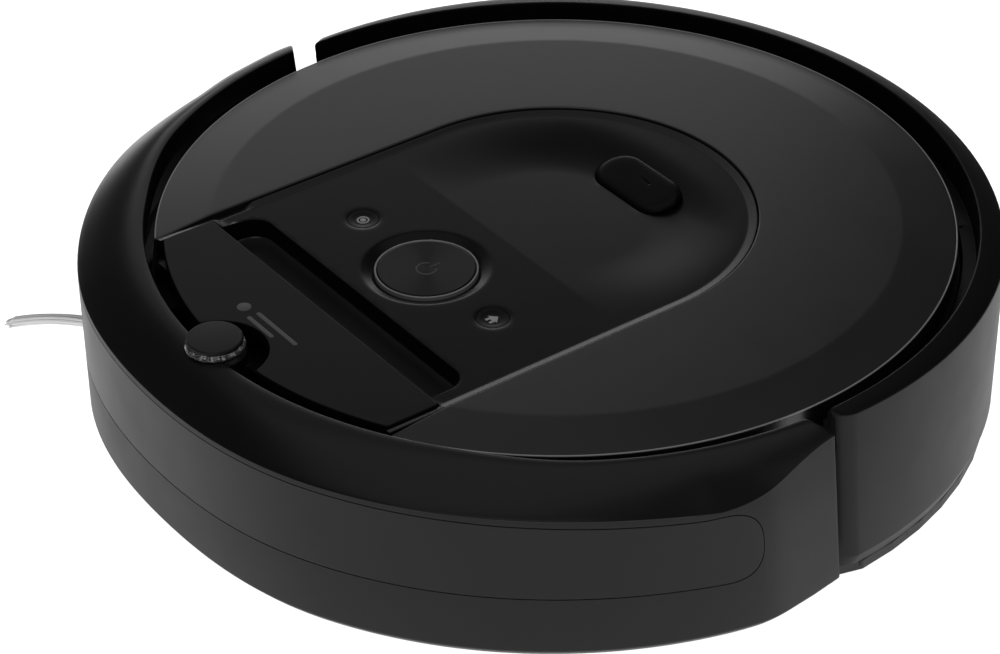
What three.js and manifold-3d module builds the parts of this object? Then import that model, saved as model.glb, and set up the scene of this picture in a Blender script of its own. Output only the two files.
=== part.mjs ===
// Robot vacuum cleaner, as separate pieces in their rest positions.
// Millimetres, +Z up, front at -Y, the machine's own left side at +X, floor at z = 0.

import * as THREE from 'three';
import { mergeVertices } from 'three/addons/utils/BufferGeometryUtils.js';
import { ConvexGeometry } from 'three/addons/geometries/ConvexGeometry.js';
import Module from 'manifold-3d';

const wasm = await Module();
wasm.setup();

// ---------------------------------------------------------------- driving dimensions

const GAP = 0.4;                                              // between touching pieces
const BASE = { low: 12, high: 15.8, frontRadius: 153.6 };     // underside plate
const TUB = { inner: 150, outer: 152.6, top: 69.6 };          // inner wall on the plate
const DECK = { y: 4.9, radius: 150, low: 70, high: 73 };      // plate under the lid
const DISC = { y: 4.9, radius: 148.2, top: 86.3, edge: 84.7, flat: 128, wall: 2.4 };
const RING = { y: 5.4, radius: 155.4, top: 88.5 };            // inner edge of the rim
const TONGUE = { half: 75, top: 85.8, floor: 84.4, low: 77.4, front: -99.2, skin: 3.4 };
const TROUGH = { half: 66, front: -99.2, rear: -83, low: 64, floor: 66, reach: -114.5 };
const HANDLE = { half: 73.4, rear: -99.8, radius: 145, low: 81.5, high: 85.9 };
const PIVOT = { x: 61, y: -125, z: 78, ear: 3, lug: 3.1, pin: 1.5, length: 14 };
const KNOB = { y: -143.5, top: 92, cap: 10, collar: 11.2, clearance: 18.5 };
const CLEAN = { y: -54, dish: 24.2, ring: 19.1, cap: 17.3 };
const SMALL = { x: 40.5, y: -54, cap: 5.8 };
const CAMERA = { y: 44, length: 40, width: 19.4, tilt: 14, height: 82.3 };
const FLANK = { low: 16.2, foot: 21, wall: 3, front: 169.3, rear: 169 };
const BUMPER = { foot: 24.3, lip: 3.5, taper: 5, wall: 3.2, skirt: 79, steps: 36 };
const WINDOW = { end: 77, depth: 1.8, skin: 1.4 };
const WHEEL = { radius: 36, width: 16, x: 120, z: 36, hub: 28 };
const ARM = { x: 102, width: 15.4, pivotY: -48, pivotZ: 40, heel: 9, boss: 17, pin: 3 };
const MOTOR = { x: 101, z: 60.6, radius: 8, front: -44, rear: -10 };
const WELL = { inner: 92.5, outer: 131, front: -46, rear: 41 };
const CASTER = { y: -122, radius: 15, width: 14, trail: 5, fork: 20, top: 36, hole: 21.6 };
const HEAD = { half: 88, front: 1, rear: 63.5, low: 13, high: 34, wall: 2.5 };
const ROLLER = { radius: 13.5, half: 78, z: 15.5, frontY: 18, rearY: 46 };
const BRUSH = { x: -104.4, y: -100, reach: 75.4, hub: 11.5, start: 192.5, bend: 22.2, motor: 11.6 };
const BIN = { half: 86.5, front: 68, low: 12.5, high: 68, wall: 2.5 };
const FAN = { x: 111, y: 70, radius: 18, low: 18, high: 60 };
const BATTERY = { x0: -60, x1: 74, y0: -94, y1: -53, low: 17, high: 50 };

const DEG = Math.PI / 180;

// ---------------------------------------------------------------- solids and placing

/** A geometry as a manifold solid with its faces pointing out. */
function solid(geometry) {
  const bare = geometry.clone();
  bare.deleteAttribute('normal');
  bare.deleteAttribute('uv');
  const merged = mergeVertices(bare, 1e-4);
  const at = merged.attributes.position.array;
  const corner = (index) => new THREE.Vector3().fromArray(at, index * 3);
  const triangles = [];
  let volume = 0;
  for (let i = 0; i < merged.index.count; i += 3) {
    const [a, b, c] = [0, 1, 2].map((k) => merged.index.getX(i + k));
    if (a !== b && b !== c && c !== a) {
      triangles.push([a, b, c]);
      volume += corner(a).dot(corner(b).cross(corner(c)));
    }
  }
  const wound = volume < 0 ? triangles.map(([a, b, c]) => [a, c, b]) : triangles;
  return new wasm.Manifold(new wasm.Mesh({
    numProp: 3,
    vertProperties: Float32Array.from(at),
    triVerts: Uint32Array.from(wound.flat()),
  }));
}

/** A manifold solid as a three.js geometry. */
function geometryOf(body) {
  const mesh = body.getMesh();
  const geometry = new THREE.BufferGeometry();
  geometry.setAttribute('position', new THREE.BufferAttribute(mesh.vertProperties, 3));
  geometry.setIndex(new THREE.BufferAttribute(mesh.triVerts, 1));
  geometry.computeVertexNormals();
  return geometry;
}

const robot = new THREE.Group();

/** Names a solid and puts it in a group. */
function piece(name, body, material, parent = robot) {
  const mesh = new THREE.Mesh(geometryOf(body), material);
  mesh.name = name;
  parent.add(mesh);
  return mesh;
}

function group(x, y, z, parent = robot) {
  const made = new THREE.Group();
  made.position.set(x, y, z);
  parent.add(made);
  return made;
}

function cutAll(body, cutters) {
  return cutters.reduce((left, cutter) => left.subtract(cutter), body);
}

function addAll(bodies) {
  return bodies.reduce((left, body) => left.add(body));
}

// ---------------------------------------------------------------- plain shapes

function box(x0, x1, y0, y1, z0, z1) {
  const geometry = new THREE.BoxGeometry(x1 - x0, y1 - y0, z1 - z0);
  return solid(geometry.translate((x0 + x1) / 2, (y0 + y1) / 2, (z0 + z1) / 2));
}

/** A cylinder along Z. */
function post(x, y, z0, z1, radius, sides = 32) {
  const geometry = new THREE.CylinderGeometry(radius, radius, z1 - z0, sides);
  return solid(geometry.rotateX(Math.PI / 2).translate(x, y, (z0 + z1) / 2));
}

/** A cylinder along X. */
function shaft(x0, x1, y, z, radius, sides = 16) {
  const geometry = new THREE.CylinderGeometry(radius, radius, x1 - x0, sides);
  return solid(geometry.rotateZ(Math.PI / 2).translate((x0 + x1) / 2, y, z));
}

/** A cylinder along Y. */
function rod(y0, y1, x, z, radius, sides = 20) {
  const geometry = new THREE.CylinderGeometry(radius, radius, y1 - y0, sides);
  return solid(geometry.translate(x, (y0 + y1) / 2, z));
}

/** A solid with flat sides stretched over some points. */
function hull(corners) {
  const points = corners.map(([x, y, z]) => new THREE.Vector3(x, y, z));
  return solid(new ConvexGeometry(points));
}

/** A flat outline raised from z0 to z1. */
function slab(shape, z0, z1, curve = 12) {
  const geometry = new THREE.ExtrudeGeometry(shape, {
    depth: z1 - z0,
    bevelEnabled: false,
    curveSegments: curve,
  });
  return solid(geometry.translate(0, 0, z0));
}

/** A profile of [radius, height] pairs turned round the Z axis. */
function turned(profile, sides = 48) {
  const points = profile.map(([r, z]) => new THREE.Vector2(r, z));
  return solid(new THREE.LatheGeometry(points, sides).rotateX(Math.PI / 2));
}

/** The same, turned round the X axis. */
function spun(profile, sides = 32) {
  const points = profile.map(([r, x]) => new THREE.Vector2(r, x));
  return solid(new THREE.LatheGeometry(points, sides).rotateZ(-Math.PI / 2));
}

/** A bar with round ends, length along X. */
function stadium(length, width) {
  const shape = new THREE.Shape();
  const straight = (length - width) / 2;
  shape.absarc(straight, 0, width / 2, -Math.PI / 2, Math.PI / 2, false);
  shape.absarc(-straight, 0, width / 2, Math.PI / 2, Math.PI * 1.5, false);
  return shape;
}

function rounded(x0, x1, y0, y1, r) {
  const shape = new THREE.Shape();
  shape.absarc(x1 - r, y0 + r, r, -Math.PI / 2, 0, false);
  shape.absarc(x1 - r, y1 - r, r, 0, Math.PI / 2, false);
  shape.absarc(x0 + r, y1 - r, r, Math.PI / 2, Math.PI, false);
  shape.absarc(x0 + r, y0 + r, r, Math.PI, Math.PI * 1.5, false);
  return shape;
}

/** A closed profile swept round the machine. profileAt(turn) gives [radius, z] pairs for an
 *  angle in degrees from the front. turnOf(section, point) places each profile point. */
function swept(turns, profileAt, turnOf = (turn) => turn) {
  const sections = turns.map((turn, step) => profileAt(turn, step));
  const count = sections[0].length;
  const positions = [];
  const faces = [];
  sections.forEach((section, step) => {
    section.forEach(([r, z]) => {
      const angle = turnOf(turns[step], r, z, step) * DEG;
      positions.push(r * Math.sin(angle), -r * Math.cos(angle), z);
    });
  });
  for (let step = 0; step < sections.length - 1; step += 1) {
    for (let k = 0; k < count; k += 1) {
      const a = step * count + k;
      const b = step * count + (k + 1) % count;
      faces.push(a, b, b + count, a, b + count, a + count);
    }
  }
  for (const [step, reversed] of [[0, true], [sections.length - 1, false]]) {
    const outline = sections[step].map(([r, z]) => new THREE.Vector2(r, z));
    const wound = THREE.ShapeUtils.area(outline) > 0;
    for (const [a, b, c] of THREE.ShapeUtils.triangulateShape(outline, [])) {
      const same = THREE.ShapeUtils.area([outline[a], outline[b], outline[c]]) > 0 === wound;
      const ids = same !== reversed ? [a, b, c] : [a, c, b];
      faces.push(...ids.map((id) => step * count + id));
    }
  }
  const geometry = new THREE.BufferGeometry();
  geometry.setAttribute('position', new THREE.Float32BufferAttribute(positions, 3));
  geometry.setIndex(faces);
  return solid(geometry);
}

function spread(from, to, steps) {
  return Array.from({ length: steps + 1 }, (_, i) => from + (to - from) * i / steps);
}

function smooth(t) {
  const s = Math.min(1, Math.max(0, t));
  return s * s * (3 - 2 * s);
}

// ---------------------------------------------------------------- finishes

function finish(color, roughness, metalness = 0) {
  return new THREE.MeshStandardMaterial({ color, roughness, metalness });
}

const satinBlack = finish(0x111112, 0.35);
const flankGrey = finish(0x2b2b2d, 0.6);
const discGrey = finish(0x343436, 0.5);
const panelGrey = finish(0x242426, 0.55);
const glossBlack = finish(0x0c0c0d, 0.12);
const innerBlack = finish(0x19191a, 0.7);
const windowBlack = finish(0x1d1d1f, 0.4);
const clearSmoke = finish(0x3a3a40, 0.05);
const lightWhite = finish(0xb9bcc0, 0.3);
const brushWhite = finish(0xe6e7e8, 0.5);
const tyreRubber = finish(0x1a1a1b, 0.85);
const hubGrey = finish(0x3c3e41, 0.5);
const rollerGreen = finish(0x5f8f3e, 0.7);
const frameGrey = finish(0x54585c, 0.55);
const frameYellow = finish(0xb7c23a, 0.5);
const binSmoke = finish(0x2a2c30, 0.3);
const filterWhite = finish(0xd9d6cc, 0.9);
const steel = finish(0xa8aaad, 0.3, 1);
const boardGreen = finish(0x1f4d33, 0.6);
const batteryBlack = finish(0x222326, 0.6);

// ---------------------------------------------------------------- outlines round the body

/** Distance from the middle to a circle centred on the Y axis, along an angle. */
function circleReach(turn, y, radius) {
  const along = -y * Math.cos(turn * DEG);
  return along + Math.sqrt(radius * radius - y * y + along * along);
}

function ringInner(turn) {
  return circleReach(turn, RING.y, RING.radius);
}

/** The bumper is flattest in front, swells towards its shoulders and ends in straight sides. */
function bumperRadius(turn) {
  const angle = Math.abs(turn);
  const swell = FLANK.front + 2 * smooth(angle / 22) + 1.4 * smooth((angle - 32) / 22);
  const side = 165.44 / (Math.sin(angle * DEG) - 0.0986 * Math.cos(angle * DEG));
  return angle > 60 ? Math.min(swell, side) : swell;
}

/** The rear housing starts narrower than the bumper and widens to full size. */
function rearRadius(turn) {
  const angle = turn > 180 ? 360 - turn : turn;
  return FLANK.rear - 7 * (Math.max(0, 131 - angle) / 36) ** 1.3;
}

/** Height of the bumper's crease, which falls to the shoulders and rises at the ends. */
function creaseHeight(turn) {
  const angle = Math.abs(turn);
  const falling = 77.9 + shoulderLift(turn) - 5.3 * (Math.min(angle, 72) / 72) ** 6;
  return falling + 12.2 * smooth((angle - 74) / 14);
}

/** Lines along the flank climb with the swell of the bumper. */
function shoulderLift(turn) {
  const angle = Math.min(Math.abs(turn), 60);
  return 0.5 * (bumperRadius(angle) - FLANK.front);
}

function windowTop(turn) {
  return 75.8 + shoulderLift(turn) - 5 * (Math.min(Math.abs(turn), 70) / 70) ** 4;
}

function windowFoot(turn) {
  return 44.3 + shoulderLift(turn) - 3.7 * (Math.abs(turn) / 75) ** 6;
}

function bumperFoot(turn) {
  return BUMPER.foot - 4 * (Math.min(Math.abs(turn), 85) / 85) ** 5;
}

// ---------------------------------------------------------------- bumper and knob

/** Angle from the front at which the bumper's slanted end face meets a point. */
function bumperEnd(r, z) {
  const y = -2.6 + 0.55 * (r - 167) - 0.107 * (z - 86);
  return 90 + Math.asin(y / r) / DEG;
}

function bumperProfile(turn) {
  const outer = bumperRadius(turn);
  const crease = creaseHeight(turn);
  const inner = ringInner(turn);
  const foot = bumperFoot(turn);
  const brow = (t, drop) => {
    const rise = (RING.top - crease) * (1 - (1 - t) ** 1.7);
    return [outer + (inner + 1.4 - outer) * t, crease + rise - drop];
  };
  return [
    [outer - BUMPER.taper, foot - BUMPER.lip],
    [outer, foot],
    [outer, crease - 1],
    brow(0.06, 0),
    brow(0.3, 0),
    brow(0.62, 0),
    brow(1, 0),
    [inner, RING.top - 0.9],
    [inner, BUMPER.skirt],
    [inner + 2.2, BUMPER.skirt],
    [inner + 2.2, RING.top - 3.1],
    brow(0.6, 3),
    [outer - BUMPER.wall, crease - 2],
    [outer - BUMPER.wall, foot + 1.3],
    [outer - BUMPER.taper - 2.4, foot - BUMPER.lip + 2],
  ];
}

/** The band in the bumper's flank, with a half circle at each end. grow widens it all round,
 *  and low and high are its depths from the flank. */
function windowBand(grow, low, high) {
  const half = (windowTop(WINDOW.end) - windowFoot(WINDOW.end)) / 2;
  const degrees = 1 / (bumperRadius(WINDOW.end) * DEG);
  const start = WINDOW.end - half * degrees;
  const round = (half + grow) * degrees;
  const cap = [0, 20, 40, 60, 78].map((a) => start + round * Math.sin(a * DEG));
  const body = spread(-start, start, 26).slice(1, -1);
  const turns = [...cap.map((turn) => -turn).reverse(), ...body, ...cap];
  return swept(turns, (turn) => {
    const over = Math.max(0, Math.abs(turn) - start) / round;
    const centre = (windowTop(turn) + windowFoot(turn)) / 2;
    const tall = (windowTop(turn) - centre + grow) * Math.sqrt(1 - over * over);
    const outer = bumperRadius(turn);
    return [
      [outer + low, centre - tall],
      [outer + high, centre - tall],
      [outer + high, centre + tall],
      [outer + low, centre + tall],
    ];
  });
}

function makeBumper() {
  const turns = spread(-90, 90, BUMPER.steps);
  const ends = (turn, r, z) => turn / 90 * bumperEnd(r, z);
  const shell = swept(turns, bumperProfile, ends);
  const recess = windowBand(0, -WINDOW.depth, 3);
  const seat = post(0, KNOB.y, BUMPER.skirt - 1, 95, KNOB.collar + GAP, 32);
  piece('bumper_shell', shell.subtract(recess).subtract(seat), satinBlack);
  piece('bumper_window', windowBand(-GAP, -WINDOW.skin, 0), windowBlack);

  const knob = group(0, KNOB.y, 0);
  piece('knob_bracket', box(-9.5, 9.5, -6, 7.5, BUMPER.skirt, 82), satinBlack, knob);
  const collar = turned([[0, 82.4], [KNOB.collar, 82.4], [KNOB.collar, 86], [10.5, 87.4], [0, 87.4]], 32);
  const band = turned([[0, 87.8], [10.2, 87.8], [10.2, 90.2], [0, 90.2]], 32);
  const cap = turned([[0, 90.6], [KNOB.cap, 90.6], [KNOB.cap, 91.3], [9.2, KNOB.top], [0, KNOB.top]], 32);
  piece('knob_base', collar, glossBlack, knob);
  piece('knob_lens', band, clearSmoke, knob);
  piece('knob_cap', cap, innerBlack, knob);
}

// ---------------------------------------------------------------- underside plate

const CLIFF_TURNS = [-58, -20, 20, 58, 110, -110];
const CONTACTS = [-44, 44];
const COVER_SCREWS = [[-63, -74.5], [77, -74.5]];
const FLOOR_EYE = { x: 101, y: 98 };

function cliffPlace(turn) {
  return [143.5 * Math.sin(turn * DEG), -143.5 * Math.cos(turn * DEG)];
}

function basePlate() {
  const shape = new THREE.Shape();
  const front = spread(-90, 90, 30).map((turn) => [turn, BASE.frontRadius]);
  const rear = spread(97, 263, 30).map((turn) => [turn, rearRadius(turn) - 2]);
  const points = [...front, ...rear].map(([turn, r]) => {
    return new THREE.Vector2(r * Math.sin(turn * DEG), -r * Math.cos(turn * DEG));
  });
  shape.setFromPoints(points);
  return slab(shape, BASE.low, BASE.high);
}

function makeBase() {
  const wall = post(0, 0, BASE.high - 1, TUB.top, TUB.outer, 48).subtract(
    post(0, 0, 0, 90, TUB.inner, 48));
  const over = BASE.high + 1;
  const wells = [1, -1].map((side) => {
    const xs = [side * WELL.inner, side * WELL.outer].sort((a, b) => a - b);
    return box(xs[0], xs[1], WELL.front, WELL.rear, 0, over);
  });
  const hatch = rounded(BATTERY.x0 - 8, BATTERY.x1 + 8, BATTERY.y0 - 4, BATTERY.y1 + 4, 5);
  const cutters = [
    ...wells,
    box(-HEAD.half - 1.5, HEAD.half + 1.5, HEAD.front - 2.2, HEAD.rear + 1, 0, over),
    box(-BIN.half - 1, BIN.half + 1, BIN.front - 0.6, 200, 0, 100),
    post(0, CASTER.y, 0, over, CASTER.hole, 32),
    post(BRUSH.x, BRUSH.y, 0, over, BRUSH.hub + 1.2, 24),
    post(BRUSH.x, BRUSH.y, BASE.high, 60, 16, 24),
    slab(hatch, 0, over, 4),
    ...CLIFF_TURNS.map((turn) => {
      const [x, y] = cliffPlace(turn);
      return box(x - 8, x + 8, y - 4.4, y + 4.4, 0, 23);
    }),
    ...CONTACTS.map((x) => box(x - 13, x + 13, -126, -114, 0, over)),
    box(FLOOR_EYE.x - 7, FLOOR_EYE.x + 7, FLOOR_EYE.y - 6, FLOOR_EYE.y + 6, 0, over),
    ...spread(-8, 8, 4).map((x) => box(FAN.x + x - 1, FAN.x + x + 1, 60, 80, 0, over)),
  ];
  const hinges = [1, -1].map((side) => {
    const xs = [side * 88, side * 92.2].sort((a, b) => a - b);
    const pins = [side * 90, side * 109.4].sort((a, b) => a - b);
    const lug = box(...xs, ARM.pivotY - 5, ARM.pivotY + 5, BASE.high - 1, ARM.pivotZ + 6);
    return lug.add(shaft(...pins, ARM.pivotY, ARM.pivotZ, ARM.pin));
  });
  const plate = cutAll(basePlate().add(wall), cutters);
  piece('chassis_base', addAll([plate, ...hinges]), innerBlack);

  piece('battery', slab(rounded(BATTERY.x0, BATTERY.x1, BATTERY.y0, BATTERY.y1, 6),
    BATTERY.low, BATTERY.high, 3), batteryBlack);
  const lid = rounded(BATTERY.x0 - 7.6, BATTERY.x1 + 7.6, BATTERY.y0 - 3.6, BATTERY.y1 + 3.6, 4.8);
  const holes = COVER_SCREWS.map(([x, y]) => post(x, y, 0, 20, 2.9, 12));
  piece('battery_cover', cutAll(slab(lid, BASE.low, BASE.high - 0.6, 4), holes), innerBlack);
  COVER_SCREWS.forEach(([x, y], i) => {
    piece(`cover_screw_${i + 1}`, post(0, 0, BASE.low + 0.4, 22, 2.5, 12), steel, group(x, y, 0));
  });
  CONTACTS.forEach((x, i) => {
    const pad = slab(rounded(-12.6, 12.6, -5.6, 5.6, 2), BASE.low - 0.6, BASE.high, 3);
    piece(`charge_contact_${i + 1}`, pad, steel, group(x, -120, 0));
  });
  CLIFF_TURNS.forEach((turn, i) => {
    const [x, y] = cliffPlace(turn);
    piece(`cliff_sensor_${i + 1}`, box(-7.6, 7.6, -4, 4, BASE.low + 0.3, 22), glossBlack, group(x, y, 0));
  });
  const eye = group(FLOOR_EYE.x, FLOOR_EYE.y, 0);
  piece('floor_sensor', box(-6.6, 6.6, -5.6, 5.6, BASE.low + 0.3, 24), glossBlack, eye);
}

// ---------------------------------------------------------------- top of the machine

/** Outline of the tongue-shaped hollow: straight sides and a half-round rear end. */
function tongueShape(half, front) {
  const shape = new THREE.Shape();
  shape.moveTo(-half, front);
  shape.lineTo(half, front);
  shape.absarc(0, DISC.y, half, 0, Math.PI, false);
  return shape;
}

function makeRearHousing() {
  const start = (r, z) => 90 + Math.asin((7.9 + 0.75 * (r - 164.4) - 0.107 * (z - 86)) / r) / DEG;
  const profile = (turn) => {
    const outer = rearRadius(turn);
    const inner = ringInner(turn);
    return [
      [outer - 1.6, FLANK.low],
      [outer, FLANK.foot],
      [outer, 84.4],
      [outer - 1.3, 86],
      [inner + 1, RING.top - 0.2],
      [inner, RING.top - 0.9],
      [inner, 75.4],
      [inner - 5.4, 75.4],
      [inner - 5.4, 73.4],
      [inner + 2.2, 73.4],
      [inner + 2.2, 84.8],
      [outer - FLANK.wall, 83.2],
      [outer - FLANK.wall, FLANK.low],
    ];
  };
  const turns = spread(92, 268, 30);
  const ends = (turn, r, z) => {
    const first = start(r, z);
    return first + (turn - 92) / 176 * (360 - 2 * first);
  };
  const mouth = box(-BIN.half - 1, BIN.half + 1, 60, 200, 0, BIN.high + 1);
  piece('rear_housing', swept(turns, profile, ends).subtract(mouth), flankGrey);
}

function makeLid() {
  const plate = post(0, DECK.y, DECK.low, DECK.high, DECK.radius, 48);
  const lugs = [-1, 1].flatMap((side) => [-5.1, 5.1].map((aside) => {
    const x = side * PIVOT.x + aside;
    const stem = box(x - 1.5, x + 1.5, PIVOT.y - PIVOT.lug, PIVOT.y + PIVOT.lug, DECK.high - 0.5, PIVOT.z);
    return stem.add(shaft(x - 1.5, x + 1.5, PIVOT.y, PIVOT.z, PIVOT.lug, 24));
  }));
  const deckCuts = [
    box(-TROUGH.half - 3.5, TROUGH.half + 3.5, TROUGH.reach - 1.5, TROUGH.rear + 2, 60, 80),
    box(-48, 48, -150, -130.5, 60, 80),
    shaft(-70, 70, PIVOT.y, PIVOT.z, PIVOT.pin + 0.3),
    ...[1, -1].map((side) => box(side * WHEEL.x - 9.5, side * WHEEL.x + 9.5, -22, 22, 60, 80)),
  ];
  piece('top_deck', cutAll(plate.add(addAll(lugs)), deckCuts), innerBlack);

  const under = DISC.top - DISC.wall;
  const cover = turned([
    [0, DISC.top],
    [DISC.flat, DISC.top],
    [DISC.radius - 0.8, DISC.edge],
    [DISC.radius, DISC.edge - 0.8],
    [DISC.radius, DECK.high + GAP],
    [DISC.radius - DISC.wall, DECK.high + GAP],
    [DISC.radius - DISC.wall, under - 1],
    [0, under - 1],
  ], 56).translate([0, DISC.y, 0]);
  const notch = slab(tongueShape(TONGUE.half, -200), 0, 100, 20);
  piece('faceplate', cover.subtract(notch), discGrey);

  const edge = TONGUE.half - GAP;
  const base = slab(tongueShape(edge, TONGUE.front), TONGUE.low, TONGUE.floor, 20);
  const rimOuter = slab(tongueShape(edge, TONGUE.front), TONGUE.floor - 1, TONGUE.top, 20);
  const rimInner = slab(tongueShape(edge - 2.5, TONGUE.front - 5), TONGUE.floor - 2, 90, 20);
  const hollow = slab(tongueShape(edge - 4, TROUGH.rear + 3), 60, TONGUE.floor - TONGUE.skin, 12);
  const keep = post(0, CLEAN.y, 70, 90, 23, 24).add(box(-46, 46, -16, 66, 70, 90));
  const scoop = hull([-1, 1].flatMap((side) => [
    [side * 52, -20, TONGUE.floor], [side * 52, -20, 90],
    [side * 20, 36, 79.6], [side * 20, 54, 79.6],
    [side * 30, 36, 90], [side * 30, 60, 90],
  ]));
  const throat = slab(stadium(CAMERA.length + 2 * GAP, CAMERA.width + 2 * GAP), -20, 10, 8)
    .rotate([CAMERA.tilt, 0, 0]).translate([0, CAMERA.y, CAMERA.height]);
  const dish = turned([[0, TONGUE.floor - 2], [CLEAN.ring + GAP, TONGUE.floor - 2],
    [CLEAN.dish, TONGUE.floor], [CLEAN.dish, 90], [0, 90]], 40).translate([0, CLEAN.y, 0]);
  const finger = rounded(-TROUGH.half, TROUGH.half, TROUGH.front - 20, TROUGH.rear, 8);
  const panel = cutAll(base.add(rimOuter.subtract(rimInner)), [
    hollow.subtract(keep),
    scoop,
    throat,
    slab(finger, 60, 90, 5),
    post(0, CLEAN.y, 60, 90, CLEAN.ring + GAP, 40),
    dish,
    ...[1, -1].map((side) => post(side * SMALL.x, SMALL.y, 60, 90, SMALL.cap + GAP, 20)),
  ]);
  piece('tongue_panel', panel, panelGrey);

  const tray = rounded(-TROUGH.half - 2, TROUGH.half + 2, TROUGH.reach, TROUGH.rear + 1, 8);
  const well = rounded(-TROUGH.half, TROUGH.half, TROUGH.reach + 2, TROUGH.rear - 1, 7);
  piece('finger_trough', slab(tray, TROUGH.low, 77, 5).subtract(slab(well, TROUGH.floor, 90, 5)),
    glossBlack);
}

function makeControls() {
  const ring = turned([[17.7, 79], [CLEAN.ring, 79], [CLEAN.ring, 84.6], [17.7, 84.6], [17.7, 79]], 32);
  piece('light_ring', ring, lightWhite, group(0, CLEAN.y, 0));
  const cap = turned([[0, 79.4], [CLEAN.cap, 79.4], [CLEAN.cap, 84.4], [16.6, 85], [0, 84.7]], 32);
  piece('clean_button', cap, glossBlack, group(0, CLEAN.y, 0));
  for (const [name, side] of [['spot_button', -1], ['dock_button', 1]]) {
    const small = turned([[0, 80], [SMALL.cap, 80], [SMALL.cap, 84.3], [0, 83.7]], 20);
    piece(name, small, glossBlack, group(side * SMALL.x, SMALL.y, 0));
  }

  const camera = group(0, CAMERA.y, CAMERA.height);
  camera.rotation.x = CAMERA.tilt * DEG;
  const outline = slab(stadium(CAMERA.length, CAMERA.width), -5, 1.6, 8);
  const pit = slab(stadium(CAMERA.length - 7, CAMERA.width - 7), -3.4, 5, 8);
  const eye = post(0, 3, -9, 5, 4.2, 20);
  piece('camera_bezel', outline.subtract(pit).subtract(eye), glossBlack, camera);
  const lens = turned([[0, -7], [3.8, -7], [3.8, -2.8], [2.6, -1.9], [0, -1.5]], 20);
  piece('camera_lens', lens, clearSmoke, group(0, 3, 0, camera));
  piece('main_board', box(-60, 60, -70, -8, 56, 58), boardGreen);
}

function makeHandle() {
  const shape = new THREE.Shape();
  const side = HANDLE.half / HANDLE.radius;
  const front = -Math.PI / 2;
  shape.moveTo(HANDLE.half, HANDLE.rear);
  shape.lineTo(-HANDLE.half, HANDLE.rear);
  shape.absarc(0, DISC.y, HANDLE.radius, front - Math.asin(side), front + Math.asin(side), false);
  const plate = slab(shape, HANDLE.low, HANDLE.high, 16);
  const ears = [1, -1].map((s) => {
    const round = shaft(s * PIVOT.x - 3, s * PIVOT.x + 3, PIVOT.y, PIVOT.z, PIVOT.ear);
    const neck = box(s * PIVOT.x - 3, s * PIVOT.x + 3, PIVOT.y, PIVOT.y + 4, PIVOT.z, HANDLE.low + 1);
    return round.add(neck);
  });
  const bore = shaft(-70, 70, PIVOT.y, PIVOT.z, PIVOT.pin + 0.3);
  const bite = post(0, KNOB.y, 60, 100, KNOB.clearance, 32);
  piece('handle', cutAll(plate.add(addAll(ears)), [bore, bite]), glossBlack);
  for (const [name, s] of [['handle_pin_left', 1], ['handle_pin_right', -1]]) {
    const half = PIVOT.length / 2;
    piece(name, shaft(-half, half, 0, 0, PIVOT.pin), steel, group(s * PIVOT.x, PIVOT.y, PIVOT.z));
  }
}

// ---------------------------------------------------------------- wheels and caster

function makeWheel(name, side) {
  const out = (from, to) => [side * from, side * to].sort((a, b) => a - b);
  const inner = ARM.x - ARM.width / 2;
  const [armLow, armHigh] = out(inner, inner + ARM.width);
  const boss = shaft(armLow, armHigh, 0, WHEEL.z, ARM.boss, 24);
  const heel = shaft(armLow, armHigh, ARM.pivotY, ARM.pivotZ, ARM.heel, 20);
  const web = hull([armLow, armHigh].flatMap((x) => [-0.98, 0.98].flatMap((k) => [
    [x, ARM.pivotY, ARM.pivotZ + k * ARM.heel],
    [x, 0, WHEEL.z + k * ARM.boss],
  ])));
  const axle = shaft(...out(inner, WHEEL.x + 6), 0, WHEEL.z, 4, 16);
  const bush = shaft(...out(60, 130), ARM.pivotY, ARM.pivotZ, ARM.pin + GAP);
  piece(`${name}_wheel_arm`, addAll([boss, heel, web, axle]).subtract(bush), frameGrey);

  const motor = rod(MOTOR.front, MOTOR.rear, side * MOTOR.x, MOTOR.z, MOTOR.radius);
  piece(`${name}_wheel_motor`, motor, steel);

  const wheel = group(side * WHEEL.x, 0, WHEEL.z);
  const half = WHEEL.width / 2;
  const tyre = spun([
    [WHEEL.hub + GAP, -half + 0.5], [WHEEL.radius - 1.5, -half + 0.5], [WHEEL.radius, -half + 2.5],
    [WHEEL.radius, half - 2.5], [WHEEL.radius - 1.5, half - 0.5], [WHEEL.hub + GAP, half - 0.5],
    [WHEEL.hub + GAP, -half + 0.5],
  ], 32);
  piece(`${name}_tyre`, tyre, tyreRubber, wheel);
  const hub = spun([
    [0, -half], [WHEEL.hub, -half], [WHEEL.hub, half], [WHEEL.hub - 3, half],
    [WHEEL.hub - 5, half - 2.5], [9, half - 2.5], [8, half], [0, half],
  ], 24);
  const bore = shaft(side > 0 ? -20 : -half + 1.4, side > 0 ? half - 1.4 : 20, 0, 0, 4.4, 16);
  piece(`${name}_wheel_hub`, hub.subtract(bore), hubGrey, wheel);
}

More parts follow.
